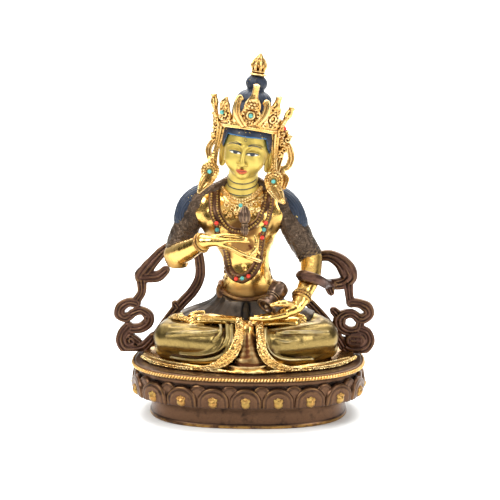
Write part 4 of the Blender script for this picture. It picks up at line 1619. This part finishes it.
    # coral setting at his left temple, on a short bracket
    here = leafFrame(84, 13.0, 18.6)
    clay.add(ring((0, -0.9, 0), 1.75, 0.5, at=here), 0.2)
    clay.add(ball((0, 0.6, 0), (2.6, 1.6, 2.4), at=here), 0.4)
    clay.add(curl((22.4, -1.4, 9.4), 2.0, 0.5, 1.2, 90, 0.6, None, 1), 0.3)
    pieceFromClay("crownMetal", clay, "ornamentGiltCopper", ["crown"], at=crownFrame)


makeCrown()

# vajra and bell

vajra = {"cell": 0.26, "ribs": 8, "ribDepth": 0.6}
vajraLow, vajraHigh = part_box("vajra")


def turnedShape(rows, at):
    # a body turned on its own z axis, from (height, radius) rows
    smooth = curvePoints(rows, 5)
    inverse = rowsOf(at.inverted())
    wide = float(smooth[:, 1].max())
    low, high = float(smooth[0, 0]), float(smooth[-1, 0])
    box = np.array([at @ Vector((x, y, z)) for x in (-wide, wide) for y in (-wide, wide)
                    for z in (low, high)])

    def measure(x, y, z):
        u, v, w = moved(inverse, x, y, z)
        radius = np.interp(w, smooth[:, 0], smooth[:, 1]).astype(np.float32)
        return np.maximum((np.hypot(u, v) - radius) * 0.85, np.maximum(low - w, w - high))

    return [(box.min(0), box.max(0), measure)]


def levelRing(clay, at, height, radius, thick):
    # a hoop round the axis of a turned body
    here = at @ Matrix.Translation((0, 0, height)) @ Matrix.Rotation(math.pi / 2, 4, "X")
    clay.add(ring((0, 0, 0), radius, thick, at=here), 0.15)


def makeVajra():
    toDrawn = figurePlace.inverted()
    foot, top = toDrawn @ vajraLow, toDrawn @ vajraHigh
    length, half = top.z - foot.z, (top.x - foot.x) / 2
    middle = ((foot.x + top.x) / 2, (foot.y + top.y) / 2)
    at = Matrix.Translation((middle[0], middle[1], foot.z))
    clay = Clay((middle[0] - half - 1.5, middle[1] - half - 1.5, foot.z - 1),
                (middle[0] + half + 1.5, middle[1] + half + 1.5, top.z + 1), vajra["cell"])
    shares = [(0, 0.30), (0.05, 0.44), (0.15, 0.66), (0.25, 0.62), (0.33, 0.40), (0.37, 0.46), (0.40, 0.36),
              (0.44, 0.52), (0.50, 0.84), (0.62, 1.0), (0.76, 0.94), (0.87, 0.68),
              (0.95, 0.38), (1.0, 0.12)]
    clay.add(turnedShape([(share * length, wide * half) for share, wide in shares], at))

    def ribs(x, y, z):
        # prongs that close over the top and the foot
        around = np.arctan2(y - middle[1], x - middle[0])
        share = (z - foot.z) / length
        above, below = np.clip((share - 0.46) * 12, 0, 1), np.clip((0.3 - share) * 12, 0, 1)
        bulb = above + below * 0.7
        return vajra["ribDepth"] * bulb * (0.5 + 0.5 * np.cos(around * vajra["ribs"]))

    clay.press(ribs)
    for share, wide in ((0.345, 0.50), (0.395, 0.46), (0.46, 0.6)):
        levelRing(clay, at, share * length, wide * half, 0.34)
    pieceFromClay("vajraBronze", clay, "patinatedBronze", ["vajra"])


makeVajra()

bell = {"cell": 0.32, "foot": (10.8, -24.5, 35.6), "axis": (0.52, 0.60, 0.61), "length": 18.6,
        "width": 11.6, "recess": 1.6}


def makeBell():
    turn = Vector(bell["axis"]).to_track_quat("Z", "Y").to_matrix().to_4x4()
    at = Matrix.Translation(bell["foot"]) @ turn
    length, half = bell["length"], bell["width"] / 2
    clay = Clay((2, -33, 29), (28, -9, 55), bell["cell"])
    shares = [(0, 0.96), (0.06, 1.0), (0.13, 0.94), (0.2, 0.80), (0.34, 0.64), (0.44, 0.68), (0.53, 0.88),
              (0.62, 0.98), (0.75, 1.0), (0.87, 0.88), (0.96, 0.58), (1.0, 0.2)]
    clay.add(turnedShape([(share * length, wide * half) for share, wide in shares], at))
    clay.dig(turnedShape([(-1.0, 0.78 * half), (0.4, 0.74 * half), (bell["recess"], 0.62 * half),
                          (bell["recess"] + 1.0, 0.1)], at), 0.3)
    clay.add(ball((0, 0, bell["recess"] - 0.6), (1.3, 1.3, 1.6), at=at), 0.3)  # clapper
    for share, wide, thick in ((0.03, 0.97, 0.5), (0.15, 0.84, 0.34), (0.40, 0.66, 0.4),
                               (0.47, 0.74, 0.34)):
        levelRing(clay, at, share * length, wide * half, thick)
    inverse = rowsOf(at.inverted())

    def lobes(x, y, z):
        u, v, w = moved(inverse, x, y, z)
        share = w / length
        band = np.clip((share - 0.52) * 10, 0, 1) * np.clip((0.97 - share) * 10, 0, 1)
        return 0.3 * band * (0.5 + 0.5 * np.cos(np.arctan2(v, u) * 8))

    clay.press(lobes)
    pieceFromClay("bellBronze", clay, "patinatedBronze", ["bell"])


makeBell()

# collar and the bands that the bead strings lie on

chestWork = {
    "cell": 0.34, "bandRadius": 1.9, "collarRadius": 1.7,
    "outerRight": [(-21.2, 99.0), (-21.3, 92.3), (-20.1, 85.4), (-18.0, 81.4), (-17.5, 77.0), (-17.2, 72.0),
                   (-13.4, 65.6), (-11.7, 59.6), (-10.6, 53.2), (-8.8, 50.1), (-6.6, 48.6), (-3.3, 48.2)],
    "innerRight": [(-17.9, 98.6), (-17.9, 92.3), (-16.9, 87.2), (-14.4, 82.5), (-11.9, 79.3), (-8.4, 77.2),
                   (-4.4, 76.6), (-0.4, 77.8), (3.2, 80.4)],
    "innerLeft": [(10.3, 99.0), (9.6, 91.2), (7.8, 87.7), (6.1, 83.0), (3.2, 80.4)],
    "outerLeft": [(13.4, 98.4), (13.2, 92.5), (12.4, 87.3), (10.8, 81.5), (9.3, 77.5),
                  (8.0, 72.3), (7.2, 64.8), (5.2, 57.0), (3.2, 52.9), (0.3, 49.9), (-3.3, 48.2)],
    "collar": [(-14.6, 99.6), (-12.6, 97.4), (-9.9, 95.2), (-6.8, 93.9), (-3.9, 93.4), (-0.4, 94.4),
               (3.6, 96.8), (7.6, 100.4)],
    "strings": ("outerRight", "innerRight", "innerLeft", "outerLeft"),
    "stringBead": 0.72, "stringGap": 1.65, "collarBead": 0.72, "collarGap": 1.55,
}


def onChest(places, proud, steps=5):
    rows = curvePoints(places, steps)
    return [(x, chestAt(x, z, -proud), z) for x, z in rows.tolist()]


def evened(path):
    # takes the small steps out of a path read off the skin
    rows = np.array(path)
    for _ in range(3):
        rows[1:-1] = (rows[:-2] + 2 * rows[1:-1] + rows[2:]) / 4
    return [tuple(row) for row in rows.tolist()]


def makeBands():
    # flat bands under the bead strings, and the sash knot the outer one ends in
    clay = Clay((-26, -16, 44), (18, 10, 104), chestWork["cell"])
    for key in chestWork["strings"]:
        path = evened(onChest(chestWork[key], -0.2))
        rows = [(*p, chestWork["bandRadius"] + (1.0 if p[2] < 60 else 0)) for p in path]
        clay.add(tube(rows, flat=(1, 0.45, 1), steps=1), 0.6)
    for x, z in ((-12.2, 52.4), (-10.9, 50.6), (-13.2, 50.9)):
        clay.add(ball((x, chestAt(x, z, -0.3), z), (1.5, 1.2, 1.2)), 0.4)
    pieceFromClay("beadBands", clay, "oxidisedCopper")


def makeCollar():
    clay = Clay((-22, -16, 80), (14, 10, 104), chestWork["cell"])
    path = evened(onChest(chestWork["collar"], 0.3))
    # the collar goes on round the neck
    back = [(-15.4, 2.5, 100.6), *path, (8.4, 2.5, 101.6)]
    clay.add(tube([(*p, chestWork["collarRadius"]) for p in back], flat=(1, 0.6, 1), steps=2), 0.5)
    for share in (-1, 1):
        edge = [(x, y - 0.6, z + share * 1.45, 0.42) for x, y, z in back]
        clay.add(tube(edge, steps=2), 0.25)
    # curled scrolls that hang below it
    scrolls = [
        (-12.0, 91.6, 1.9, 1), (-8.8, 89.4, 2.0, -1), (-13.6, 88.2, 1.7, -1), (-6.6, 87.0, 1.7, 1),
        (-10.2, 86.0, 1.5, 1), (0.6, 91.4, 1.9, -1), (4.0, 91.8, 1.9, 1), (7.2, 93.0, 1.7, -1),
        (2.6, 88.6, 1.7, 1), (5.6, 89.2, 1.5, -1), (-3.9, 88.6, 1.8, 1),
    ]
    for x, z, reach, hand in scrolls:
        y = chestAt(x, z, -0.5)
        clay.add(curl((x, y, z), reach, 0.45, 1.2, 60, 0.5, None, hand), 0.25)
    for x, z in ((-12.9, 93.4), (-10.6, 92.6), (-6.9, 91.2), (-0.9, 92.0), (2.4, 93.2), (6.0, 95.0),
                 (-6.4, 84.6), (1.6, 85.8), (-12.2, 84.8), (-3.9, 85.6), (4.2, 86.6)):
        clay.add(ball((x, chestAt(x, z, -0.5), z), (0.75, 0.75, 0.75)), 0.2)
    hanging = [[(-14.9, 96.0), (-12.4, 92.8), (-7.8, 91.4), (-4.2, 90.6)],
               [(8.6, 96.6), (5.4, 93.6), (1.2, 91.9), (-3.2, 90.6)]]
    for run in hanging:
        clay.add(tube([(*p, 0.5) for p in evened(onChest(run, 0.4))], steps=1), 0.25)
    pieceFromClay("collarAndBands", clay, "ornamentGiltCopper")


makeBands()
makeCollar()


# beads by Geometry Nodes: balls set along paths

def newTree(name, sockets):
    tree = bpy.data.node_groups.new(name, "GeometryNodeTree")
    tree.interface.new_socket("Geometry", in_out="INPUT", socket_type="NodeSocketGeometry")
    for label, kind in sockets:
        tree.interface.new_socket(label, in_out="INPUT", socket_type=kind)
    tree.interface.new_socket("Geometry", in_out="OUTPUT", socket_type="NodeSocketGeometry")
    return tree


def applyTree(thing, tree, values):
    # sets the inputs by identifier, takes the plain mesh and drops the modifier
    maker = thing.modifiers.new(tree.name, "NODES")
    maker.node_group = tree
    for item in tree.interface.items_tree:
        if item.item_type == "SOCKET" and item.in_out == "INPUT" and item.name in values:
            maker[item.identifier] = values[item.name]
    graph = bpy.context.evaluated_depsgraph_get()
    mesh = bpy.data.meshes.new_from_object(thing.evaluated_get(graph))
    thing.modifiers.clear()
    bpy.data.objects.remove(thing)
    return mesh


def pathObject(name, paths):
    verts, edges = [], []
    for path in paths:
        first = len(verts)
        verts += [figurePlace @ Vector(p) for p in path]
        edges += [(first + i, first + i + 1) for i in range(len(path) - 1)]
    return addThing(name, newMesh(name, verts, edges, []))


def beadTree():
    tree = newTree("beadString", [("Bead Radius", "NodeSocketFloat"), ("Spacing", "NodeSocketFloat"),
                                  ("Size Variation", "NodeSocketFloat"), ("Seed", "NodeSocketInt"),
                                  ("Material", "NodeSocketMaterial")])
    given = addNode(tree, "NodeGroupInput").outputs
    curve = addNode(tree, "GeometryNodeMeshToCurve", {0: given["Geometry"]})
    even = addNode(tree, "GeometryNodeResampleCurve", {"Curve": curve, "Length": given["Spacing"]},
                   mode="LENGTH")
    bead = addNode(tree, "GeometryNodeMeshIcoSphere", {"Radius": given["Bead Radius"], "Subdivisions": 2})
    smallest = addNode(tree, "ShaderNodeMath", {0: 1.0, 1: given["Size Variation"]}, operation="SUBTRACT")
    sizes = addNode(tree, "FunctionNodeRandomValue", {"Min": smallest, "Max": 1.0, "Seed": given["Seed"]},
                    data_type="FLOAT")
    placed = addNode(tree, "GeometryNodeInstanceOnPoints", {"Points": even, "Instance": bead,
                                                            "Scale": sizes.outputs[1]})
    real = addNode(tree, "GeometryNodeRealizeInstances", {0: placed})
    smooth = addNode(tree, "GeometryNodeSetShadeSmooth", {0: real})
    done = addNode(tree, "GeometryNodeSetMaterial", {0: smooth, "Material": given["Material"]})
    addNode(tree, "NodeGroupOutput", {0: done})
    return tree


def makeBeads():
    tree = beadTree()
    strings = [evened(onChest(chestWork[key], 1.25)) for key in chestWork["strings"]]
    collar = evened(onChest(chestWork["collar"], 1.35))
    rows = [[(x, y + 0.1, z + 0.75) for x, y, z in collar], [(x, y - 0.1, z - 0.7) for x, y, z in collar]]
    for name, paths, key, variation, seed, finish in (
        ("beadStrings", strings, "string", 0.15, 4, "beadGilding"),
        ("collarBeads", rows, "collar", 0.1, 7, "ornamentGiltCopper"),
    ):
        mesh = applyTree(pathObject("beadPaths", paths), tree, {
            "Bead Radius": chestWork[key + "Bead"] * mm, "Spacing": chestWork[key + "Gap"] * mm,
            "Size Variation": variation, "Seed": seed, "Material": finishes[finish]})
        showPiece(name, mesh, finish)
    report("bead strings")


makeBeads()

# set stones: domed cabochons, each over the stone that carries its name

stones = {"round": 20, "rows": 14}


def cabochon(middle, radius):
    bm = bmesh.new()
    bmesh.ops.create_uvsphere(bm, u_segments=stones["round"], v_segments=stones["rows"], radius=radius)
    bmesh.ops.translate(bm, verts=bm.verts, vec=middle)
    mesh = bpy.data.meshes.new("cabochon")
    bm.to_mesh(mesh)
    bm.free()
    mesh.shade_smooth()
    return mesh


def makeStones():
    for name in sorted(frame["nodes"]):
        kind = name.split("_")[0]
        if kind in stoneLooks:
            low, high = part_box(name)
            showPiece(name.replace("_", "Stone"),
                      cabochon((low + high) / 2, (high - low).z / 2), kind, [name])
    report("stones")


makeStones()

# lotus base

base = {
    "width": 136.5, "depth": 94.0, "height": 32.0, "footHeight": 12.8, "footInset": 10.5,
    "waistInset": 12.5, "petalTop": 26.5, "beadRadius": 1.6, "petalThick": 3.0, "squareness": 2.5,
    "petals": 20, "pitch": 18.4, "ropeBeads": 204, "around": 240,
}


def ovalNodes(tree, angle, given):
    # reach of the squared oval at an angle: (|cos|^n + |sin|^n) ^ (-1/n)
    cosine = addNode(tree, "ShaderNodeMath", {0: angle}, operation="COSINE")
    sine = addNode(tree, "ShaderNodeMath", {0: angle}, operation="SINE")
    powers = []
    for side in (cosine, sine):
        size = addNode(tree, "ShaderNodeMath", {0: side}, operation="ABSOLUTE")
        powers.append(addNode(tree, "ShaderNodeMath", {0: size, 1: given["Squareness"]}, operation="POWER"))
    total = addNode(tree, "ShaderNodeMath", {0: powers[0], 1: powers[1]}, operation="ADD")
    minus = addNode(tree, "ShaderNodeMath", {0: -1.0, 1: given["Squareness"]}, operation="DIVIDE")
    reach = addNode(tree, "ShaderNodeMath", {0: total, 1: minus}, operation="POWER")
    x = addNode(tree, "ShaderNodeMath", {0: reach, 1: cosine}, operation="MULTIPLY")
    y = addNode(tree, "ShaderNodeMath", {0: reach, 1: sine}, operation="MULTIPLY")
    return x, y


def ovalTree():
    # the base's body: a profile carried round the squared oval
    tree = newTree("ovalTurning", [("Around", "NodeSocketInt"), ("Rows", "NodeSocketInt"),
                                   ("Depth Share", "NodeSocketFloat"), ("Squareness", "NodeSocketFloat"),
                                   ("Material", "NodeSocketMaterial")])
    given = addNode(tree, "NodeGroupInput").outputs
    grid = addNode(tree, "GeometryNodeMeshGrid", {"Size X": 1.0, "Size Y": 1.0,
                                                  "Vertices X": given["Around"],
                                                  "Vertices Y": given["Rows"]})
    place = addNode(tree, "GeometryNodeInputPosition").outputs[0]
    split = addNode(tree, "ShaderNodeSeparateXYZ", {0: place})
    turn = addNode(tree, "ShaderNodeMath", {0: split.outputs[0], 1: 2 * math.pi}, operation="MULTIPLY")
    share = addNode(tree, "ShaderNodeMath", {0: split.outputs[1], 1: 0.5}, operation="ADD")
    last = addNode(tree, "ShaderNodeMath", {0: given["Rows"], 1: 1.0}, operation="SUBTRACT")
    row = addNode(tree, "ShaderNodeMath", {0: share, 1: last}, operation="MULTIPLY")
    whole = addNode(tree, "ShaderNodeMath", {0: row}, operation="ROUND")
    profile = addNode(tree, "GeometryNodeSampleIndex", {"Geometry": given["Geometry"], "Index": whole},
                      data_type="FLOAT_VECTOR")
    tree.links.new(place, profile.inputs["Value"])
    sizes = addNode(tree, "ShaderNodeSeparateXYZ", {0: profile})
    x, y = ovalNodes(tree, turn, given)
    wide = addNode(tree, "ShaderNodeMath", {0: x, 1: sizes.outputs[0]}, operation="MULTIPLY")
    deep = addNode(tree, "ShaderNodeMath", {0: y, 1: sizes.outputs[0]}, operation="MULTIPLY")
    flat = addNode(tree, "ShaderNodeMath", {0: deep, 1: given["Depth Share"]}, operation="MULTIPLY")
    target = addNode(tree, "ShaderNodeCombineXYZ", {0: wide, 1: flat, 2: sizes.outputs[2]})
    shaped = addNode(tree, "GeometryNodeSetPosition", {"Geometry": grid, "Position": target})
    closed = addNode(tree, "GeometryNodeMergeByDistance", {"Geometry": shaped, "Distance": 0.00002})
    smooth = addNode(tree, "GeometryNodeSetShadeSmooth", {0: closed})
    real = addNode(tree, "GeometryNodeRealizeInstances", {0: smooth})
    done = addNode(tree, "GeometryNodeSetMaterial", {0: real, "Material": given["Material"]})
    addNode(tree, "NodeGroupOutput", {0: done})
    return tree


def profileRows():
    # inset and height from the underside to the top disc, with how hollow each place is
    b = base
    r = b["beadRadius"]
    neck = b["height"] - 2 * r
    return [
        (b["width"] / 2, 0.0, 0.5), (40.0, 0.0, 0.5), (b["footInset"] + 0.5, 0.0, 0.5),
        (b["footInset"], 0.2, 0.36), (b["footInset"] - 0.5, 0.8, 0.36), (b["footInset"] - 0.4, 1.8, 0.40),
        (b["footInset"] + 0.3, 2.4, 0.60), (b["footInset"] + 0.4, 3.0, 0.52),
        (b["footInset"] + 0.6, 7.5, 0.49), (b["footInset"] + 1.2, 10.4, 0.51),
        (b["waistInset"], b["footHeight"], 0.62), (b["waistInset"] - 1.2, b["footHeight"] + 0.9, 0.64),
        (b["waistInset"] - 4.0, b["footHeight"] + 2.2, 0.60), (5.2, 17.5, 0.60), (4.0, 20.5, 0.60),
        (3.5, 24.0, 0.60), (3.4, b["petalTop"], 0.60), (3.1, 27.2, 0.50), (3.0, neck - 0.5, 0.52),
        (2.6, neck, 0.60), (1.4, neck + 0.2, 0.46), (0.9, neck + 0.7, 0.44), (1.1, neck + 1.4, 0.52),
        (1.2, b["height"] - r, 0.52), (1.4, b["height"] - 0.8, 0.5), (1.9, b["height"] - 0.2, 0.44),
        (2.6, b["height"], 0.44), (6.0, b["height"], 0.5), (30.0, b["height"], 0.5),
        (b["width"] / 2, b["height"], 0.5),
    ]


def makeBaseBody():
    rows = profileRows()
    verts = [((base["width"] / 2 - inset) * mm, 0, height * mm) for inset, height, hollow in rows]
    profile = newMesh("profile", verts, [(i, i + 1) for i in range(len(verts) - 1)], [])
    mesh = applyTree(addThing("profile", profile), ovalTree(), {
        "Around": base["around"] + 1, "Rows": len(rows), "Depth Share": base["depth"] / base["width"],
        "Squareness": base["squareness"], "Material": finishes["oxidisedCopper"]})
    bm = bmesh.new()
    bm.from_mesh(mesh)
    bmesh.ops.recalc_face_normals(bm, faces=bm.faces)
    bm.to_mesh(mesh)
    bm.free()
    mesh.shade_smooth()
    heights = [height for inset, height, hollow in rows]
    co = np.zeros(len(mesh.vertices) * 3, np.float32)
    mesh.vertices.foreach_get("co", co)
    co = co.reshape(-1, 3) / mm
    fine = np.interp(co[:, 2], heights, [hollow for inset, height, hollow in rows])
    addLayers(mesh, {"fineHollow": fine, "wideHollow": np.full(len(fine), 0.5)})
    showPiece("lotusBody", mesh, "oxidisedCopper", ["lotus_base"])
    report("base body")


makeBaseBody()


def bodyInset(height):
    rows = profileRows()
    return float(np.interp(height, [row[1] for row in rows], [row[0] for row in rows]))


def partMesh(name, rows, columns, shape):
    # a small leaf of the base: shape(u, v) gives across, outwards, up in millimetres, and how hollow it is
    verts, faces, hollows = [], [], []
    for j in range(rows + 1):
        for i in range(columns + 1):
            x, out, up, hollow = shape(2 * i / columns - 1, j / rows)
            verts.append((x * mm, -out * mm, up * mm))
            hollows.append(hollow)
    for j in range(rows):
        for i in range(columns):
            a = j * (columns + 1) + i
            faces.append((a, a + 1, a + columns + 2, a + columns + 1))
    mesh = newMesh(name, verts, [], faces)
    mesh.shade_smooth()
    addLayers(mesh, {"fineHollow": hollows, "wideHollow": [0.5] * len(hollows)})
    return addThing(name, mesh)


def broadPetal(wide, tall, proud):
    # round-arched leaf that follows the bowl: a rim, a groove, a second rim and a hollow middle
    def shape(u, v):
        arch = math.sqrt(max(0.0, 1 - (max(0.0, v - 0.36) / 0.64) ** 2.2))
        edge = max(abs(u), math.hypot(u * arch, max(0.0, v - 0.36) / 0.64))
        drop = bodyInset(base["footHeight"] + 0.4 + v * tall) - 3.4
        rims = math.exp(-((edge - 0.88) / 0.07) ** 2) + 0.9 * math.exp(-((edge - 0.62) / 0.06) ** 2)
        dome = max(0.0, 1 - edge ** 5) ** 0.5
        out = proud * (0.72 * dome + 0.11 * rims) - (0.2 if v > 0.05 else 1.0) * drop
        out -= 1.9 * smoothStep(edge, 0.94, 1.0) + (1.7 if v < 0.05 else 0)
        hollow = 0.52 - 0.09 * rims + 0.07 * math.exp(-((edge - 0.75) / 0.06) ** 2)
        hollow += 0.12 if edge > 0.97 else 0
        return u * wide * arch, out, max(0.0, (v - 0.05) / 0.95) * tall, min(0.66, hollow)

    return shape


def bossPetal(u, v):
    # gilded boss in the foot of a leaf: a drop with two curls and a bump over it
    x, z = 3.3 * u, 7.6 * v
    out = -1.5
    for cx, cz, r, high in ((0, 2.9, 2.85, 2.6), (-1.6, 5.4, 1.5, 1.7), (1.6, 5.4, 1.5, 1.7),
                            (0, 6.4, 1.15, 1.5)):
        away = math.hypot(x - cx, z - cz) / r
        if away < 1:
            out = max(out, high * math.sqrt(1 - away ** 2))
    drop = bodyInset(base["footHeight"] + 0.4 + z) - 3.4
    return x, out - 0.2 * drop + 1.4, z, 0.44 if out > 0.8 else 0.60


def ringTree():
    # copies of one part round the squared oval, each turned to face outwards
    tree = newTree("ovalRing", [("Part", "NodeSocketObject"), ("Count", "NodeSocketInt"),
                                ("Phase", "NodeSocketInt"), ("Every", "NodeSocketInt"),
                                ("Width", "NodeSocketFloat"), ("Depth", "NodeSocketFloat"),
                                ("Squareness", "NodeSocketFloat"), ("Height", "NodeSocketFloat"),
                                ("Material", "NodeSocketMaterial")])
    given = addNode(tree, "NodeGroupInput").outputs
    circle = addNode(tree, "GeometryNodeCurvePrimitiveCircle", {"Resolution": 720, "Radius": 1.0},
                     mode="RADIUS")
    place = addNode(tree, "GeometryNodeInputPosition").outputs[0]
    split = addNode(tree, "ShaderNodeSeparateXYZ", {0: place})
    turn = addNode(tree, "ShaderNodeMath", {0: split.outputs[1], 1: split.outputs[0]}, operation="ARCTAN2")
    x, y = ovalNodes(tree, turn, given)
    halfWide = addNode(tree, "ShaderNodeMath", {0: given["Width"], 1: 0.5}, operation="MULTIPLY")
    halfDeep = addNode(tree, "ShaderNodeMath", {0: given["Depth"], 1: 0.5}, operation="MULTIPLY")
    across = addNode(tree, "ShaderNodeMath", {0: x, 1: halfWide}, operation="MULTIPLY")
    deep = addNode(tree, "ShaderNodeMath", {0: y, 1: halfDeep}, operation="MULTIPLY")
    target = addNode(tree, "ShaderNodeCombineXYZ", {0: across, 1: deep, 2: given["Height"]})
    shaped = addNode(tree, "GeometryNodeSetPosition", {"Geometry": circle, "Position": target})
    even = addNode(tree, "GeometryNodeResampleCurve",
                   {"Curve": shaped, "Count": given["Count"]}, mode="COUNT")
    index = addNode(tree, "GeometryNodeInputIndex")
    shifted = addNode(tree, "ShaderNodeMath", {0: index, 1: given["Phase"]}, operation="ADD")
    rest = addNode(tree, "ShaderNodeMath", {0: shifted, 1: given["Every"]}, operation="MODULO")
    chosen = addNode(tree, "ShaderNodeMath", {0: rest, 1: 0.5}, operation="LESS_THAN")
    along = addNode(tree, "GeometryNodeInputTangent")
    facing = addNode(tree, "FunctionNodeAlignRotationToVector", {"Vector": along}, axis="X", pivot_axis="Z")
    part = addNode(tree, "GeometryNodeObjectInfo", {"Object": given["Part"], "As Instance": True})
    placed = addNode(tree, "GeometryNodeInstanceOnPoints", {
        "Points": even, "Selection": chosen, "Instance": part.outputs["Geometry"],
        "Rotation": facing})
    real = addNode(tree, "GeometryNodeRealizeInstances", {0: placed})
    done = addNode(tree, "GeometryNodeSetMaterial", {0: real, "Material": given["Material"]})
    addNode(tree, "NodeGroupOutput", {0: done})
    return tree


def ringPiece(name, tree, part, count, every, phase, inset, height, finish):
    holder = addThing(name, bpy.data.meshes.new(name))
    mesh = applyTree(holder, tree, {
        "Part": part, "Count": count, "Phase": phase, "Every": every,
        "Width": (base["width"] - 2 * inset) * mm, "Depth": (base["depth"] - 2 * inset) * mm,
        "Squareness": base["squareness"], "Height": height * mm, "Material": finishes[finish]})
    bpy.data.objects.remove(part)
    showPiece(name, mesh, finish, ["lotus_base"])


def makePetals():
    tree = ringTree()
    low = base["footHeight"] + 0.4
    tall = base["petalTop"] - low - 0.6
    thick = base["petalThick"]
    count = 2 * base["petals"]
    rear = partMesh("petal", 14, 16, broadPetal(base["pitch"] * 0.36, tall + 1.4, thick * 0.6))
    ringPiece("rearPetals", tree, rear, count, 2, 1, 2.4, low, "oxidisedCopper")
    broad = partMesh("petal", 22, 28, broadPetal(base["pitch"] * 0.515, tall, thick))
    ringPiece("lotusPetals", tree, broad, count, 2, 0, 1.9, low, "oxidisedCopper")
    boss = partMesh("boss", 18, 16, bossPetal)
    ringPiece("petalBosses", tree, boss, count, 2, 0, 1.9, low, "wornGiltCopper")

    def rope(u, v):
        # one slanting bead of the rope rim
        dome = math.sqrt(max(0.0, 1 - u * u)) * math.sqrt(max(0.0, 1 - (2 * v - 1) ** 2))
        return 0.95 * (u + (v - 0.5) * 1.1), 1.5 * dome, 2.1 * v, 0.40 + 0.2 * (1 - dome)

    ringPiece("rimRope", tree, partMesh("rope", 5, 6, rope), base["ropeBeads"], 1, 0, 1.0,
              base["height"] - 2.6, "ornamentGiltCopper")
    report("petals and rim")


makePetals()

total = sum(len(p.vertices) - 2 for o in bpy.data.objects if o.type == "MESH" and not o.hide_render
            for p in o.data.polygons)
print("triangles in all:", total)

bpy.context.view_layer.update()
report("done")
